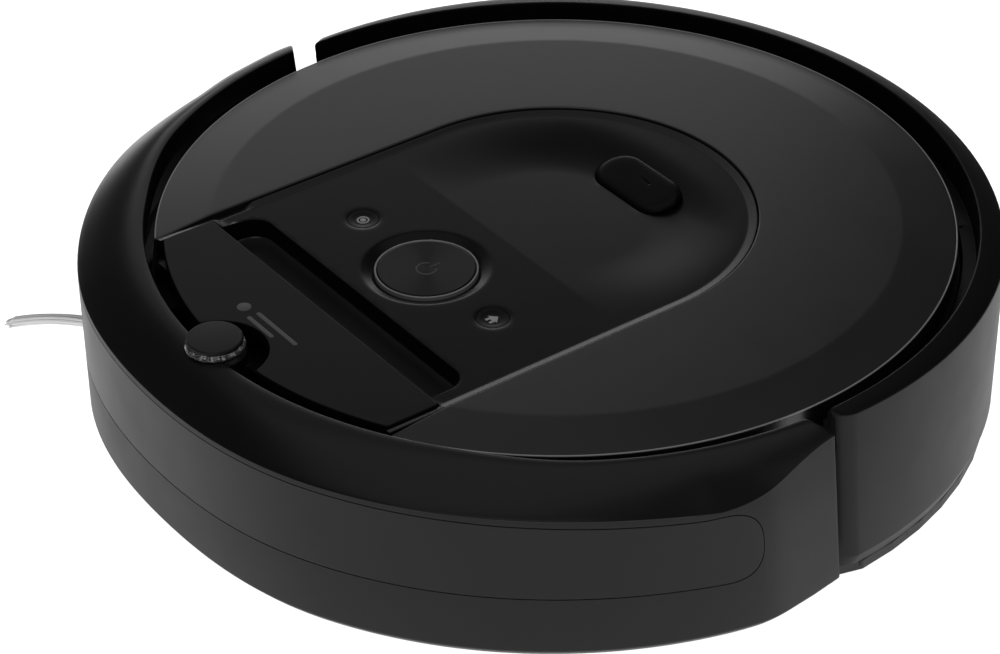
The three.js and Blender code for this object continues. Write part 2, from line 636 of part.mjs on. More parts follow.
function makeCaster() {
  const caster = group(0, CASTER.y, 0);
  const fork = turned([[0, CASTER.top], [8, CASTER.top], [CASTER.fork - 2, 28], [CASTER.fork, 22],
    [CASTER.fork, 10], [CASTER.fork - 1.5, 8.5], [0, 8.5]], 24);
  const slot = shaft(-CASTER.width / 2 - 0.6, CASTER.width / 2 + 0.6, CASTER.trail, CASTER.radius,
    CASTER.radius + 1.2, 28);
  const bore = shaft(-13, 13, CASTER.trail, CASTER.radius, 2.5, 12);
  piece('caster_fork', fork.subtract(slot).subtract(bore), hubGrey, caster);
  const half = CASTER.width / 2;
  const wheel = spun([[0, -12], [2, -12], [2, -half], [13.6, -half], [CASTER.radius, -half + 1.4],
    [CASTER.radius, half - 1.4], [13.6, half], [2, half], [2, 12], [0, 12]], 24);
  piece('caster_wheel', wheel, tyreRubber, group(0, CASTER.trail, CASTER.radius, caster));
}

// ---------------------------------------------------------------- cleaning head and brush

function makeHead() {
  const { half, front, rear, low, high, wall } = HEAD;
  const duct = box(-44, 44, 32, rear, high - 3, 54);
  const shell = box(-half, half, front, rear, low, high).add(duct);
  const chamber = box(-ROLLER.half - 1.2, ROLLER.half + 1.2, front + wall, rear - wall, 0, high - wall);
  const throat = box(-41, 41, 35, rear + 5, 20, 51.5).intersect(box(-41, 41, 35, 80, high - wall - 1, 60));
  const bores = [ROLLER.frontY, ROLLER.rearY].map((y) => {
    return shaft(-half + 2, half - 2, y, ROLLER.z, 2.9, 12);
  });
  piece('head_housing', cutAll(shell, [chamber, throat, ...bores]), frameGrey);
  piece('head_motor', shaft(-10, 56, 16, 47, 11, 24), steel);

  const frame = box(-half + 0.5, half - 0.5, 0.8, rear + 0.1, 9.6, low - GAP)
    .subtract(box(-ROLLER.half - 1, ROLLER.half + 1, 3.8, 60.4, 0, 20));
  const tabs = [-1, 1].map((side) => box(side * 40 - 9, side * 40 + 9, -0.4, 1.2, 9.8, low - 0.8));
  piece('brush_frame', addAll([frame, ...tabs]), frameYellow);

  for (const [name, y] of [['front_roller', ROLLER.frontY], ['rear_roller', ROLLER.rearY]]) {
    const { half: reach, radius } = ROLLER;
    const core = spun([[0, -reach - 6], [2.5, -reach - 6], [2.5, -reach], [radius - 2.6, -reach],
      [radius - 2.6, reach], [2.5, reach], [2.5, reach + 6], [0, reach + 6]], 20);
    const fins = spread(0, 300, 5).map((turn) => {
      const fin = box(-reach + 1, reach - 1, -0.9, 0.9, radius - 5, radius);
      return fin.rotate([turn + (y === ROLLER.rearY ? 30 : 0), 0, 0]);
    });
    piece(name, addAll([core, ...fins]), rollerGreen, group(0, y, ROLLER.z));
  }
}

function makeSideBrush() {
  const brush = group(BRUSH.x, BRUSH.y, 0);
  const hub = turned([[0, 3.6], [9, 3.6], [BRUSH.hub, 6], [BRUSH.hub, 13.4], [0, 13.4]], 24);
  const arms = [0, 120, 240].map((turn) => {
    const along = spread(7, BRUSH.reach, 7);
    const edge = (sign) => along.map((r) => {
      const angle = (BRUSH.start + turn + BRUSH.bend * (r / BRUSH.reach) ** 2) * DEG;
      const half = sign * (2.8 - 1.8 * r / BRUSH.reach);
      return new THREE.Vector2(
        r * Math.cos(angle) - half * Math.sin(angle),
        r * Math.sin(angle) + half * Math.cos(angle),
      );
    });
    const shape = new THREE.Shape([...edge(-1), ...edge(1).reverse()]);
    return slab(shape, 4.2, 8);
  });
  const socket = post(0, 0, 8.5, 20, 3.4, 12);
  const screwHole = post(0, 0, 0, 6.6, 3, 12);
  piece('side_brush', cutAll(addAll([hub, ...arms]), [socket, screwHole]), brushWhite, brush);
  piece('side_brush_screw', post(0, 0, 3.8, 6.3, 2.6, 12), steel, brush);
  const body = post(0, 0, BASE.high + 0.6, 46, BRUSH.motor, 24).add(post(0, 0, 9, 20, 2.9, 12));
  piece('brush_motor', body, hubGrey, brush);
}

// ---------------------------------------------------------------- dust bin and fan

function binShape(inset) {
  const half = BIN.half - inset;
  const radius = FLANK.rear - inset;
  const side = Math.acos(half / radius);
  const shape = new THREE.Shape();
  shape.moveTo(-half, BIN.front + inset);
  shape.lineTo(half, BIN.front + inset);
  shape.absarc(0, 0, radius, side, Math.PI - side, false);
  return shape;
}

function makeBin() {
  const shell = slab(binShape(0), BIN.low, BIN.high, 20);
  const chamber = slab(binShape(BIN.wall), BIN.low + BIN.wall, BIN.high - BIN.wall, 20);
  const cuts = [
    chamber,
    box(-78, 42, 76, 138, 0, 20),
    box(-38, 38, 60, 75, 34, 53),
    box(52, 80, 84, 112, 0, 20),
    box(80, 95, 74, 100, 26, 58),
    box(-13, 13, 160, 175, 46, 60),
  ];
  piece('bin_shell', cutAll(shell, cuts), binSmoke);
  const lid = box(-77.5, 41.5, 76.5, 137.5, BIN.low, BIN.low + 2.2);
  piece('bin_door', lid, binSmoke);
  piece('port_flap', box(52.5, 79.5, 84.5, 111.5, BIN.low + 0.2, BIN.low + 1.8), tyreRubber);
  piece('bin_filter', box(74, BIN.half - BIN.wall - GAP, 72, 102, 24, 60), filterWhite);
  const tab = slab(rounded(-12.5, 12.5, 46.5, 59.5, 3), 0, 9, 4).rotate([90, 0, 0]);
  piece('bin_release', tab.translate([0, 168.4, 0]), glossBlack);
}

function makeFan() {
  const { radius, low, high } = FAN;
  const fan = group(FAN.x, FAN.y, 0);
  const drum = post(0, 0, low, high, radius, 20);
  const snout = box(-22.4, -10, 4, 16, 28, 56);
  const cuts = [
    post(0, 0, low + 2, high - 2, radius - 2.4, 20),
    box(-30, -8, 6, 14, 30, 54),
    post(0, 0, 0, 30, 8, 20),
    post(0, 0, 50, 70, 2.4, 12),
  ];
  piece('fan_housing', cutAll(drum.add(snout), cuts), innerBlack, fan);
  const disc = turned([[0, 30], [radius - 5, 30], [radius - 5, 32], [5, 34], [4, 46], [2, 46],
    [2, 59], [0, 59]], 16);
  const blade = box(3, radius - 6, -0.7, 0.7, 31, 44);
  const blades = spread(0, 300, 5).map((turn) => blade.rotate([0, 0, turn]));
  piece('impeller', addAll([disc, ...blades]), hubGrey, fan);
}

makeBumper();
makeBase();
makeRearHousing();
makeLid();
makeControls();
makeHandle();
makeWheel('left', 1);
makeWheel('right', -1);
makeCaster();
makeHead();
makeSideBrush();
makeBin();
makeFan();

export default robot;
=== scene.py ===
from math import asin, atan2, cos, degrees, hypot, pi, radians, sin, sqrt, tan

import bmesh
import bpy
import numpy as np
from mathutils import Matrix, Vector
from mathutils.geometry import delaunay_2d_cdt


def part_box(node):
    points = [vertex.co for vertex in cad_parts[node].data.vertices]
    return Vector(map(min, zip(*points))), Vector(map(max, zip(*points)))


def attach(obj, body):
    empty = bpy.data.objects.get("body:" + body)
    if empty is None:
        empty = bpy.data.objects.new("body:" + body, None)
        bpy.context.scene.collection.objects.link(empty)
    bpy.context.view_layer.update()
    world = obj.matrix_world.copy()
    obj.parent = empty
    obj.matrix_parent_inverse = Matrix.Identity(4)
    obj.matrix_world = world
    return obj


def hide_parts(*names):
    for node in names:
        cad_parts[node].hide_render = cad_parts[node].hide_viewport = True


# Looks of the robot vacuum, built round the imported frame. Sizes in this script are millimetres,
# with +Z up, the front at -Y and the floor at z = 0. A "turn" is an angle in degrees from the front.

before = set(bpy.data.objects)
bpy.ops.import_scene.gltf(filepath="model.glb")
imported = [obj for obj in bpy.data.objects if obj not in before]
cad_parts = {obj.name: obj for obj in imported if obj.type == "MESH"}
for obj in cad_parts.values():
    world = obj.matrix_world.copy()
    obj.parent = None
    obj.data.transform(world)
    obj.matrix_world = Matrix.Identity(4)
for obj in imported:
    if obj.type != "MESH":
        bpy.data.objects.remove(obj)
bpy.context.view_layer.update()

MM = 0.001


def box(node):
    """Lowest and highest corner of a CAD node, in millimetres."""
    low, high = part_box(node)
    return low / MM, high / MM


def middle(node):
    low, high = box(node)
    return (low + high) / 2


# ---- driving sizes

LID_LOW, LID_HIGH = box("faceplate")
LID = {"radius": LID_HIGH.x, "y": LID_HIGH.y - LID_HIGH.x, "top": LID_HIGH.z, "low": LID_LOW.z}
LID_FLAT = 128.0              # radius of the lid's flat middle
LID_FALL = 0.085              # slope of the band round it
RING = {"y": 5.4, "radius": 155.4, "top": 88.5, "nearer": 3.2, "from": 62.0, "over": 22.0}
TONGUE = {"half": 74.7, "notch": 75.0, "floor": 84.8, "low": 77.4, "front": -99.2, "rim": 3.4, "rise": 0.62}
SCOOP = {"y": -21.0, "slope": 0.066, "sides": 36.0, "rear": 62.0, "blend": 22.0}
ARM = {"y": -80.0, "blend": 6.0, "front": -96.0, "fade": 3.0, "lift": 0.7, "slope": 0.2}
TROUGH = {"half": 66.0, "rear": -83.0, "reach": -112.5, "corner": 8.0, "floor": 66.5, "low": 64.2}
HANDLE = {"half": 71.9, "rear": -99.8, "radius": 145.0, "low": 81.5, "high": 85.9, "bite": 18.5}
PIVOT = {"x": 61.0, "y": -125.0, "z": 78.0}
KNOB_Y = middle("knob_cap").y
BUTTON_Y = middle("clean_button").y
KNOB = {"radius": 10.0, "collar": 11.2, "band": 11.0, "low": 82.4, "top": 92.0}
CAP = {"radius": 17.85, "ring": 18.15, "outer": 19.0}
DISH = {"radius": 24.0, "hole": 19.2, "slope": 0.36}
SMALL = {"x": middle("dock_button").x, "radius": 5.83, "hole": 5.9, "dish": 7.6, "slope": 0.14}
CAMERA = {"y": 44.0, "z": 82.3, "tilt": 14.0, "length": 40.0, "width": 19.4}
FLANK = {"front": 169.3, "rear": 169.0, "wall": 3.0, "low": 16.2, "foot": 21.0, "pinch": 7.0, "side": 131.0}
BUMPER = {"foot": 23.3, "lip": 3.5, "taper": 3.0, "wall": 3.2, "skirt": 79.0, "drop": 3.0, "side": 85.0}
END = {"bumper": (-2.6, 0.55, 167.0), "rear": (7.9, 0.75, 164.4), "lean": 0.107, "height": 86.0}
PLAN = {"swell": 3.2, "corner": 26.0, "more": 0.2, "side": 165.44, "slope": 0.0986, "soft": 2.0}
CREASE = {"front": 77.9, "fall": 5.3, "low": 72.0, "turn": 71.0, "climb": 10.6, "over": 19.0}
WINDOW = {"top": 75.8, "foot": 44.3, "end": 77.0, "depth": 1.8, "skin": 1.4, "gap": 0.28, "power": 2.5}
MOUTH = {"half": 87.5, "high": 69.0}
WHEEL = {"x": 120.0, "z": 36.0, "radius": 36.0, "hub": 28.4, "half": 7.5, "lugs": 34}
ROLLER = {"reach": 77.0, "core": 10.7, "radius": 13.5, "fins": 6, "twist": 42.0}
BRUSH = {"reach": 75.4, "start": 192.5, "bend": 22.2, "z": 5.4, "strands": 16, "ragged": 2.6,
         "wide": (2.3, -1.5), "tall": (1.9, -0.2), "thick": (0.72, 0.12)}
UNDER = box("chassis_base")[0].z


# ---- outlines

def polar(turn, radius, z):
    angle = radians(turn)
    return (radius * sin(angle), -radius * cos(angle), z)


def spread(first, last, steps):
    return [first + (last - first) * i / steps for i in range(steps + 1)]


def arc(x, y, radius, first, last, steps):
    """Points on an arc, with its angles in degrees from +X."""
    angles = [radians(a) for a in spread(first, last, steps)]
    return [(x + radius * cos(a), y + radius * sin(a)) for a in angles]


def circle(x, y, radius, sides=64):
    return arc(x, y, radius, 0, 360, sides)[:-1]


def stadium(length, width, steps=14):
    """An outline with round ends, its length along X."""
    reach = (length - width) / 2
    right = arc(reach, 0, width / 2, -90, 90, steps)
    return right + arc(-reach, 0, width / 2, 90, 270, steps)


def soften(corners, steps=4):
    """A closed outline with rounded corners, each given as (x, y) or (x, y, radius)."""
    outline = []
    for i, corner in enumerate(corners):
        here = Vector(corner[:2])
        if len(corner) == 2:
            outline.append(tuple(here))
            continue
        before = Vector(corners[i - 1][:2]) - here
        after = Vector(corners[(i + 1) % len(corners)][:2]) - here
        half = before.angle(after) / 2
        reach = min(corner[2] / tan(half), 0.49 * before.length, 0.49 * after.length)
        radius = reach * tan(half)
        start = before.normalized()
        finish = after.normalized()
        centre = here + (start + finish).normalized() * radius / sin(half)
        arm = here + start * reach - centre
        side = 1 if arm.cross(here + finish * reach - centre) > 0 else -1
        for k in range(steps + 1):
            swung = Matrix.Rotation(side * (pi - 2 * half) * k / steps, 2) @ arm
            outline.append(tuple(centre + swung))
    return outline


def rounded(x0, x1, y0, y1, radius, steps=6):
    return soften([(x0, y0, radius), (x1, y0, radius), (x1, y1, radius), (x0, y1, radius)], steps)


def offset(outline, distance):
    """The outline moved to its left, with mitred corners."""
    moved = []
    for i, here in enumerate(outline):
        before = Vector(here) - Vector(outline[i - 1])
        after = Vector(outline[(i + 1) % len(outline)]) - Vector(here)
        left = [Vector((-v.y, v.x)).normalized() for v in (before, after)]
        shift = (left[0] + left[1]) * distance / (1 + left[0].dot(left[1]))
        moved.append((here[0] + shift.x, here[1] + shift.y))
    return moved


def raised(outline, z):
    return [(x, y, z) for x, y in outline]


def smooth(t):
    s = min(1, max(0, t))
    return s * s * (3 - 2 * s)


def higher(a, b, soft):
    """The larger of two heights, with a soft change from one to the other."""
    return (a + b + hypot(a - b, soft)) / 2


def lower(a, b, soft):
    return (a + b - hypot(a - b, soft)) / 2


def tuck(distance, radius):
    """How far a rounded edge has fallen away at a distance from its end."""
    if distance >= radius:
        return 0
    return radius - sqrt(radius ** 2 - (radius - distance) ** 2)


# ---- shapes: (points, faces)

def strips(first, count, rows):
    faces = []
    for row in range(rows - 1):
        for k in range(count):
            a = first + row * count + k
            b = first + row * count + (k + 1) % count
            faces.append((a, b, b + count, a + count))
    return faces


def loft(loops, caps=True, wrap=False):
    """Faces between closed loops that have the same number of points."""
    rows = loops + [loops[0]] if wrap else loops
    count = len(loops[0])
    points = [p for loop in rows for p in loop]
    faces = strips(0, count, len(rows))
    if caps and not wrap:
        last = len(points) - count
        faces += [tuple(reversed(range(count))), tuple(range(last, last + count))]
    return points, faces


def turned(profile, x=0, y=0, sides=96, wrap=False):
    """A profile of (radius, z) turned round a vertical axis."""
    loops = [raised(circle(x, y, max(r, 0), sides), z) for r, z in profile]
    return loft(loops, caps=False, wrap=wrap)


def spun(profile, x, y, z, sides=96, wrap=False):
    """A profile of (radius, x) turned round an axis along X."""
    loops = []
    for radius, along in profile:
        loops.append([(x + along, y + a, z + b) for a, b in circle(0, 0, max(radius, 0), sides)])
    return loft(loops, caps=False, wrap=wrap)


def join(*shapes):
    points, faces = [], []
    for more, polygons in shapes:
        shift = len(points)
        points += more
        faces += [tuple(i + shift for i in polygon) for polygon in polygons]
    return points, faces


def moved(shape, matrix):
    points, faces = shape
    return [tuple(matrix @ Vector(p)) for p in points], faces


def cap(points, loops, free=()):
    """Triangles that fill the space inside the first loop and outside the others."""
    ids = [i for loop in loops for i in loop] + list(free)
    flat = [Vector(points[i][:2]) for i in ids]
    polygons, start = [], 0
    for loop in loops:
        polygons.append(list(range(start, start + len(loop))))
        start += len(loop)
    _, _, triangles, origins, _, _ = delaunay_2d_cdt(flat, [], polygons, 2, 1e-5)
    return [tuple(ids[origins[v][0]] for v in triangle) for triangle in triangles]


def inner_points(outer, holes, spacing, marks):
    """A grid of points inside an outline, clear of its edges and of the marked points."""
    edges = np.array([p for outline in [outer, *holes] for p in outline] + list(marks))
    xs = [p[0] for p in outer]
    ys = [p[1] for p in outer]
    found = []
    for row, y in enumerate(np.arange(min(ys), max(ys), spacing * 0.87)):
        for x in np.arange(min(xs) + spacing / 2 * (row % 2), max(xs), spacing):
            if np.min(np.sum((edges - (x, y)) ** 2, axis=1)) > (0.6 * spacing) ** 2:
                found.append((x, y))
    return [p for p in found if inside(p, outer) and not any(inside(p, hole) for hole in holes)]


def inside(point, outline):
    x, y = point
    within = False
    for (x0, y0), (x1, y1) in zip(outline, outline[1:] + outline[:1]):
        if (y0 > y) != (y1 > y) and x < x0 + (y - y0) * (x1 - x0) / (y1 - y0):
            within = not within
    return within


def plate(outer, low, high, holes=(), edge=0.4, under=0.2, height=None, spacing=0, marks=(), steps=4):
    """A flat piece with rounded rims. Its outlines run anticlockwise, and height(x, y) is its top."""
    top = height or (lambda x, y: high)
    points, faces, tops, bottoms = [], [], [], []
    for side, outline in [(1, outer)] + [(-1, hole) for hole in holes]:
        loops = []
        for angle in spread(0, pi / 2, steps):
            rim = offset(outline, side * edge * (1 - sin(angle)))
            drop = edge * (1 - cos(angle))
            loops.append([(x, y, top(x, y) - drop) for x, y in rim])
        loops.append(raised(outline, low + under))
        loops.append(raised(offset(outline, side * under), low))
        first = len(points)
        for loop in loops:
            points += loop
        faces += strips(first, len(outline), len(loops))
        tops.append(list(range(first, first + len(outline))))
        bottoms.append(list(range(len(points) - len(outline), len(points))))
    free = []
    if spacing:
        rims = [[points[i][:2] for i in loop] for loop in tops]
        loose = list(marks) + inner_points(rims[0], rims[1:], spacing, marks)
        free = range(len(points), len(points) + len(loose))
        points += [(x, y, top(x, y)) for x, y in loose]
    faces += cap(points, tops, free) + cap(points, bottoms)
    return points, faces


# ---- pieces

def show(name, data):
    """A new object in the scene for a mesh, camera or light."""
    made = bpy.data.objects.new(name, data)
    bpy.context.scene.collection.objects.link(made)
    return made


def piece(name, shape, look, body, replaced=(), sharp=35, weighted=False):
    """Makes a mesh object from a shape and hangs it on its body."""
    points, faces = shape
    mesh = bpy.data.meshes.new(name)
    mesh.from_pydata([[c * MM for c in p] for p in points], [], faces)
    work = bmesh.new()
    work.from_mesh(mesh)
    bmesh.ops.remove_doubles(work, verts=work.verts, dist=2e-6)
    bmesh.ops.dissolve_degenerate(work, dist=1e-6, edges=work.edges)
    bmesh.ops.recalc_face_normals(work, faces=work.faces)
    work.to_mesh(mesh)
    work.free()
    mesh.shade_smooth()
    mesh.set_sharp_from_angle(angle=radians(sharp))
    mesh.materials.append(LOOKS[look])
    made = show(name, mesh)
    if weighted:
        normals = made.modifiers.new("even_normals", "WEIGHTED_NORMAL")
        normals.keep_sharp = True
    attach(made, body)
    if replaced:
        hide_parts(*replaced)
    return made


def dress(node, look, edge, segments):
    """A CAD node that keeps its shape gets rounded edges and a finish."""
    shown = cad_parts[node]
    shown.data.materials.clear()
    shown.data.materials.append(LOOKS[look])
    weld = shown.modifiers.new("weld", "WELD")
    weld.merge_threshold = 1e-5
    bevel = shown.modifiers.new("edges", "BEVEL")
    bevel.width = edge * MM
    bevel.segments = segments
    bevel.limit_method = "ANGLE"
    bevel.angle_limit = radians(38)
    bevel.harden_normals = True


# ---- materials

class Graph:
    """A material's nodes, with short ways to add and link them."""

    def __init__(self, name):
        self.material = bpy.data.materials.new(name)
        self.material.use_nodes = True
        self.tree = self.material.node_tree
        self.shader = self.tree.nodes["Principled BSDF"]

    def add(self, kind, **inputs):
        node = self.tree.nodes.new(kind)
        for key, value in inputs.items():
            socket = node.inputs[key.replace("_", " ")]
            if isinstance(value, bpy.types.NodeSocket):
                self.tree.links.new(value, socket)
            else:
                socket.default_value = value
        return node

    def link(self, output, socket):
        self.tree.links.new(output, self.shader.inputs[socket])

    def place(self):
        return self.add("ShaderNodeTexCoord").outputs["Object"]

    def noise(self, scale, detail=2, place=None):
        made = self.add("ShaderNodeTexNoise", Vector=place or self.place(), Scale=scale, Detail=detail)
        return made.outputs["Fac"]

    def calculate(self, operation, value, number):
        node = self.tree.nodes.new("ShaderNodeMath")
        node.operation = operation
        self.tree.links.new(value, node.inputs[0])
        node.inputs[1].default_value = number
        return node.outputs[0]

    def between(self, value, low, high):
        made = self.add("ShaderNodeMapRange", Value=value, To_Min=low, To_Max=high)
        return made.outputs["Result"]

    def tint(self, value, first, second):
        ramp = self.tree.nodes.new("ShaderNodeValToRGB")
        ramp.color_ramp.elements[0].color = (*first, 1)
        ramp.color_ramp.elements[0].position = 0.3
        ramp.color_ramp.elements[1].color = (*second, 1)
        ramp.color_ramp.elements[1].position = 0.7
        self.tree.links.new(value, ramp.inputs["Fac"])
        return ramp.outputs["Color"]

    def bump(self, height, strength, depth):
        made = self.add("ShaderNodeBump", Height=height, Strength=strength, Distance=depth * MM)
        self.link(made.outputs["Normal"], "Normal")


def plastic(name, colour, rough, level, relief, grain=2400, strength=0.25, drift=0.08):
    """Moulded plastic: fine grain, and slow changes of tone and of roughness."""
    graph = Graph(name)
    slow = graph.noise(22, 3)
    fine = graph.noise(grain, 2)
    darker = [c * (1 - drift) for c in colour]
    lighter = [c * (1 + drift) for c in colour]
    graph.link(graph.tint(slow, darker, lighter), "Base Color")
    graph.link(graph.between(graph.noise(60, 4), rough * 0.88, rough * 1.12), "Roughness")
    graph.shader.inputs["Specular IOR Level"].default_value = level
    graph.bump(fine, strength, relief)
    return graph.material


def metal(name, colour, rough, stretch=(1, 1, 1)):
    """Metal with fine scratches along one direction."""
    graph = Graph(name)
    mapping = graph.add("ShaderNodeMapping", Vector=graph.place(), Scale=stretch)
    lines = graph.noise(900, 4, mapping.outputs["Vector"])
    darker = [c * 0.85 for c in colour]
    graph.link(graph.tint(lines, darker, colour), "Base Color")
    graph.link(graph.between(lines, rough * 0.8, rough * 1.3), "Roughness")
    graph.shader.inputs["Metallic"].default_value = 1
    graph.bump(lines, 0.15, 0.02)
    return graph.material


def clear(name, colour, rough, weight):
    """Tinted clear plastic, partly letting light through."""
    graph = Graph(name)
    graph.link(graph.tint(graph.noise(120), [c * 0.8 for c in colour], colour), "Base Color")
    graph.link(graph.between(graph.noise(300), rough * 0.7, rough * 1.3), "Roughness")
    graph.shader.inputs["Transmission Weight"].default_value = weight
    graph.shader.inputs["IOR"].default_value = 1.5
    graph.bump(graph.noise(900), 0.05, 0.01)
    return graph.material


def ringed(name, colour, rough, centre, pitch):
    """Plastic or metal film with fine rings round a centre, as on a turned button."""
    graph = Graph(name)
    shift = graph.add("ShaderNodeMapping", Vector=graph.place(), Location=[-c * MM for c in centre])
    wave = graph.add("ShaderNodeTexWave", Vector=shift.outputs["Vector"], Scale=1 / (pitch * MM * 20),
                     Distortion=0, Detail=0)
    wave.wave_type = "RINGS"
    wave.rings_direction = "Z"
    rings = wave.outputs["Fac"]
    graph.link(graph.tint(rings, [c * 0.9 for c in colour], [c * 1.1 for c in colour]), "Base Color")
    graph.link(graph.between(rings, rough * 0.95, rough * 1.05), "Roughness")
    graph.shader.inputs["Specular IOR Level"].default_value = 0.17
    graph.shader.inputs["Anisotropic"].default_value = 0.85
    tangent = graph.add("ShaderNodeTangent")
    tangent.direction_type = "RADIAL"
    tangent.axis = "Z"
    graph.link(tangent.outputs["Tangent"], "Tangent")
    graph.bump(rings, 0.02, 0.004)
    return graph.material


def grey(level, tint=0.0):
    return (level * (1 - tint), level, level * (1 + tint))


# colour, roughness, specular level and depth of the grain, then any other arguments of plastic()
PLASTICS = {
    "bumper_top": (grey(0.0055), 0.30, 0.26, 0.012),
    "flank": (grey(0.0085, 0.01), 0.46, 0.16, 0.03),
    "window": (grey(0.0085, 0.01), 0.40, 0.16, 0.006),
    "lid": (grey(0.0100), 0.29, 0.5, 0.012, 5200),
    "panel": (grey(0.0045), 0.24, 0.11, 0.006),
    "handle": (grey(0.0060), 0.34, 0.11, 0.012),
    # bevel: the panel's plastic made lighter and shinier for its rim, a painted highlight of the lit rim
    "bevel": (grey(0.0060), 0.26, 0.4, 0.006),
    # gap: a darker copy of the flank plastic, painted shade for the inner walls and end faces that face the
    # gaps between parts
    "gap": (grey(0.003), 0.6, 0.08, 0.01),
    "rear_top": (grey(0.004), 0.36, 0.13, 0.012),
    "gloss": (grey(0.004), 0.10, 0.5, 0.003, 2400, 0.1),
    "bezel": (grey(0.0035), 0.30, 0.08, 0.004, 2400, 0.1),
    "inner": (grey(0.005), 0.6, 0.1, 0.03),
    "under": (grey(0.013), 0.55, 0.35, 0.03),
    "knob_cap": (grey(0.012), 0.42, 0.2, 0.01),
    # trough: lightened well past the black plastic round it, painted light standing in for the lit walls of
    # the trough
    "trough": (grey(0.040), 0.25, 0.6, 0.006),
    # a light bead along the lid's edge: painted highlight of the lit edge
    "painted_rim_highlight": (grey(0.36), 0.25, 0.8, 0.003),
    "mark": (grey(0.10), 0.4, 0.3, 0.004),
    "icon": (grey(0.42), 0.5, 0.3, 0.004),
    "ring": (grey(0.22), 0.3, 0.5, 0.004),
    "bristle": (grey(0.80), 0.45, 0.3, 0.01, 2400, 0.25, 0.04),
    "rubber": (grey(0.014), 0.8, 0.3, 0.06, 1500, 0.4),
    "hub": (grey(0.045), 0.5, 0.4, 0.03),
    "frame": (grey(0.085), 0.5, 0.4, 0.03),
    "yellow": ((0.47, 0.54, 0.045), 0.45, 0.4, 0.02),
    "green": ((0.10, 0.26, 0.05), 0.65, 0.35, 0.05),
    "bin": (grey(0.012, 0.04), 0.3, 0.4, 0.01),
    "filter": ((0.68, 0.66, 0.6), 0.9, 0.2, 0.2, 900, 0.6),
    "board": ((0.013, 0.075, 0.033), 0.5, 0.5, 0.05, 700),
    "battery": (grey(0.016, 0.03), 0.5, 0.5, 0.02),
}

LOOKS = {name: plastic(name, *look) for name, look in PLASTICS.items()}
LOOKS |= {
    "steel": metal("steel", grey(0.55), 0.3, stretch=(1, 14, 1)),
    "mirror": metal("mirror", grey(0.62), 0.08),
    "contact": metal("contact", (0.62, 0.58, 0.50), 0.22, stretch=(12, 1, 1)),
    "lens": clear("lens", (0.02, 0.02, 0.025), 0.04, 0.15),
    "smoke": clear("smoke", (0.62, 0.62, 0.64), 0.03, 0.9),
    "button": ringed("button", grey(0.004), 0.30, (0, BUTTON_Y, 0), 0.5),
}


# ---- camera, floor and light

AIM = {"turn": 52.82, "rise": 34.69, "distance": 1155.45, "height": 38.5}


# name, turn, rise, distance, size and power, in degrees, metres and watts
LAMPS = [("overhead", 0, 88, 1.7, (1.9, 1.9), 6), ("front_fill", 170, 40, 2.2, (1.4, 1.0), 4),
         ("side_fill", -110, 35, 2.2, (1.2, 1.0), 1.6)]


def make_camera():
    data = bpy.data.cameras.new("camera")
    data.sensor_width = 36
    data.lens = 109.84
    data.shift_x = -0.0455
    data.shift_y = -0.0059
    turn, rise = radians(AIM["turn"]), radians(AIM["rise"])
    back = Vector((sin(turn) * cos(rise), -cos(turn) * cos(rise), sin(rise)))
    camera = show("camera", data)
    camera.location = (Vector((0, 0, AIM["height"])) + back * AIM["distance"]) * MM
    camera.rotation_euler = back.to_track_quat("Z", "Y").to_euler()
    bpy.context.scene.camera = camera


def make_floor():
    graph = Graph("floor")
    graph.link(graph.tint(graph.noise(3), (0.86, 0.86, 0.86), (0.89, 0.89, 0.89)), "Base Color")
    graph.shader.inputs["Roughness"].default_value = 0.9
    graph.shader.inputs["Specular IOR Level"].default_value = 0.1
    mesh = bpy.data.meshes.new("floor")
    half = 6.0
    corners = [(-half, -half, 0), (half, -half, 0), (half, half, 0), (-half, half, 0)]
    mesh.from_pydata(corners, [], [(0, 1, 2, 3)])
    mesh.materials.append(graph.material)
    floor = show("floor", mesh)
    return floor


def towards(turn, rise, distance):
    """A point as seen from the object. turn runs to the camera's left of its mirror direction."""
    across = radians(AIM["turn"] + 180 + turn)
    up = radians(rise)
    return Vector((sin(across) * cos(up), -cos(across) * cos(up), sin(up))) * distance


def area(name, turn, rise, distance, size, power, aim=(0, 0, 0.05)):
    data = bpy.data.lights.new(name, "AREA")
    data.shape = "RECTANGLE"
    data.size, data.size_y = size
    data.energy = power
    lamp = show(name, data)
    lamp.location = towards(turn, rise, distance)
    lamp.rotation_euler = (lamp.location - Vector(aim)).to_track_quat("Z", "Y").to_euler()
    lamp.visible_camera = False
    return lamp


def softbox(name, low, high, left, right, distance, strength, fall):
    """A curved sheet of light between two elevations. left and right are its edges at low and high.

    Its glow weakens with height, as height to the power of minus fall."""
    steps = 16
    mesh = bpy.data.meshes.new(name)
    points = []
    for up in spread(0, 1, steps):
        edges = [side[0] + (side[1] - side[0]) * up for side in (left, right)]
        points += [towards(turn, low + (high - low) * up, distance) for turn in spread(*edges, steps)]
    row = steps + 1
    faces = [(j * row + i, j * row + i + 1, (j + 1) * row + i + 1, (j + 1) * row + i)
             for j in range(steps) for i in range(steps)]
    mesh.from_pydata(points, [], faces)
    graph = Graph(name)
    height = graph.add("ShaderNodeSeparateXYZ", Vector=graph.place()).outputs["Z"]
    gain = graph.calculate("MULTIPLY", graph.calculate("POWER", height, -fall), strength)
    emission = graph.add("ShaderNodeEmission", Strength=gain)
    graph.tree.links.new(emission.outputs[0], graph.tree.nodes["Material Output"].inputs["Surface"])
    mesh.materials.append(graph.material)
    sheet = show(name, mesh)
    sheet.visible_camera = False
    sheet.visible_shadow = False


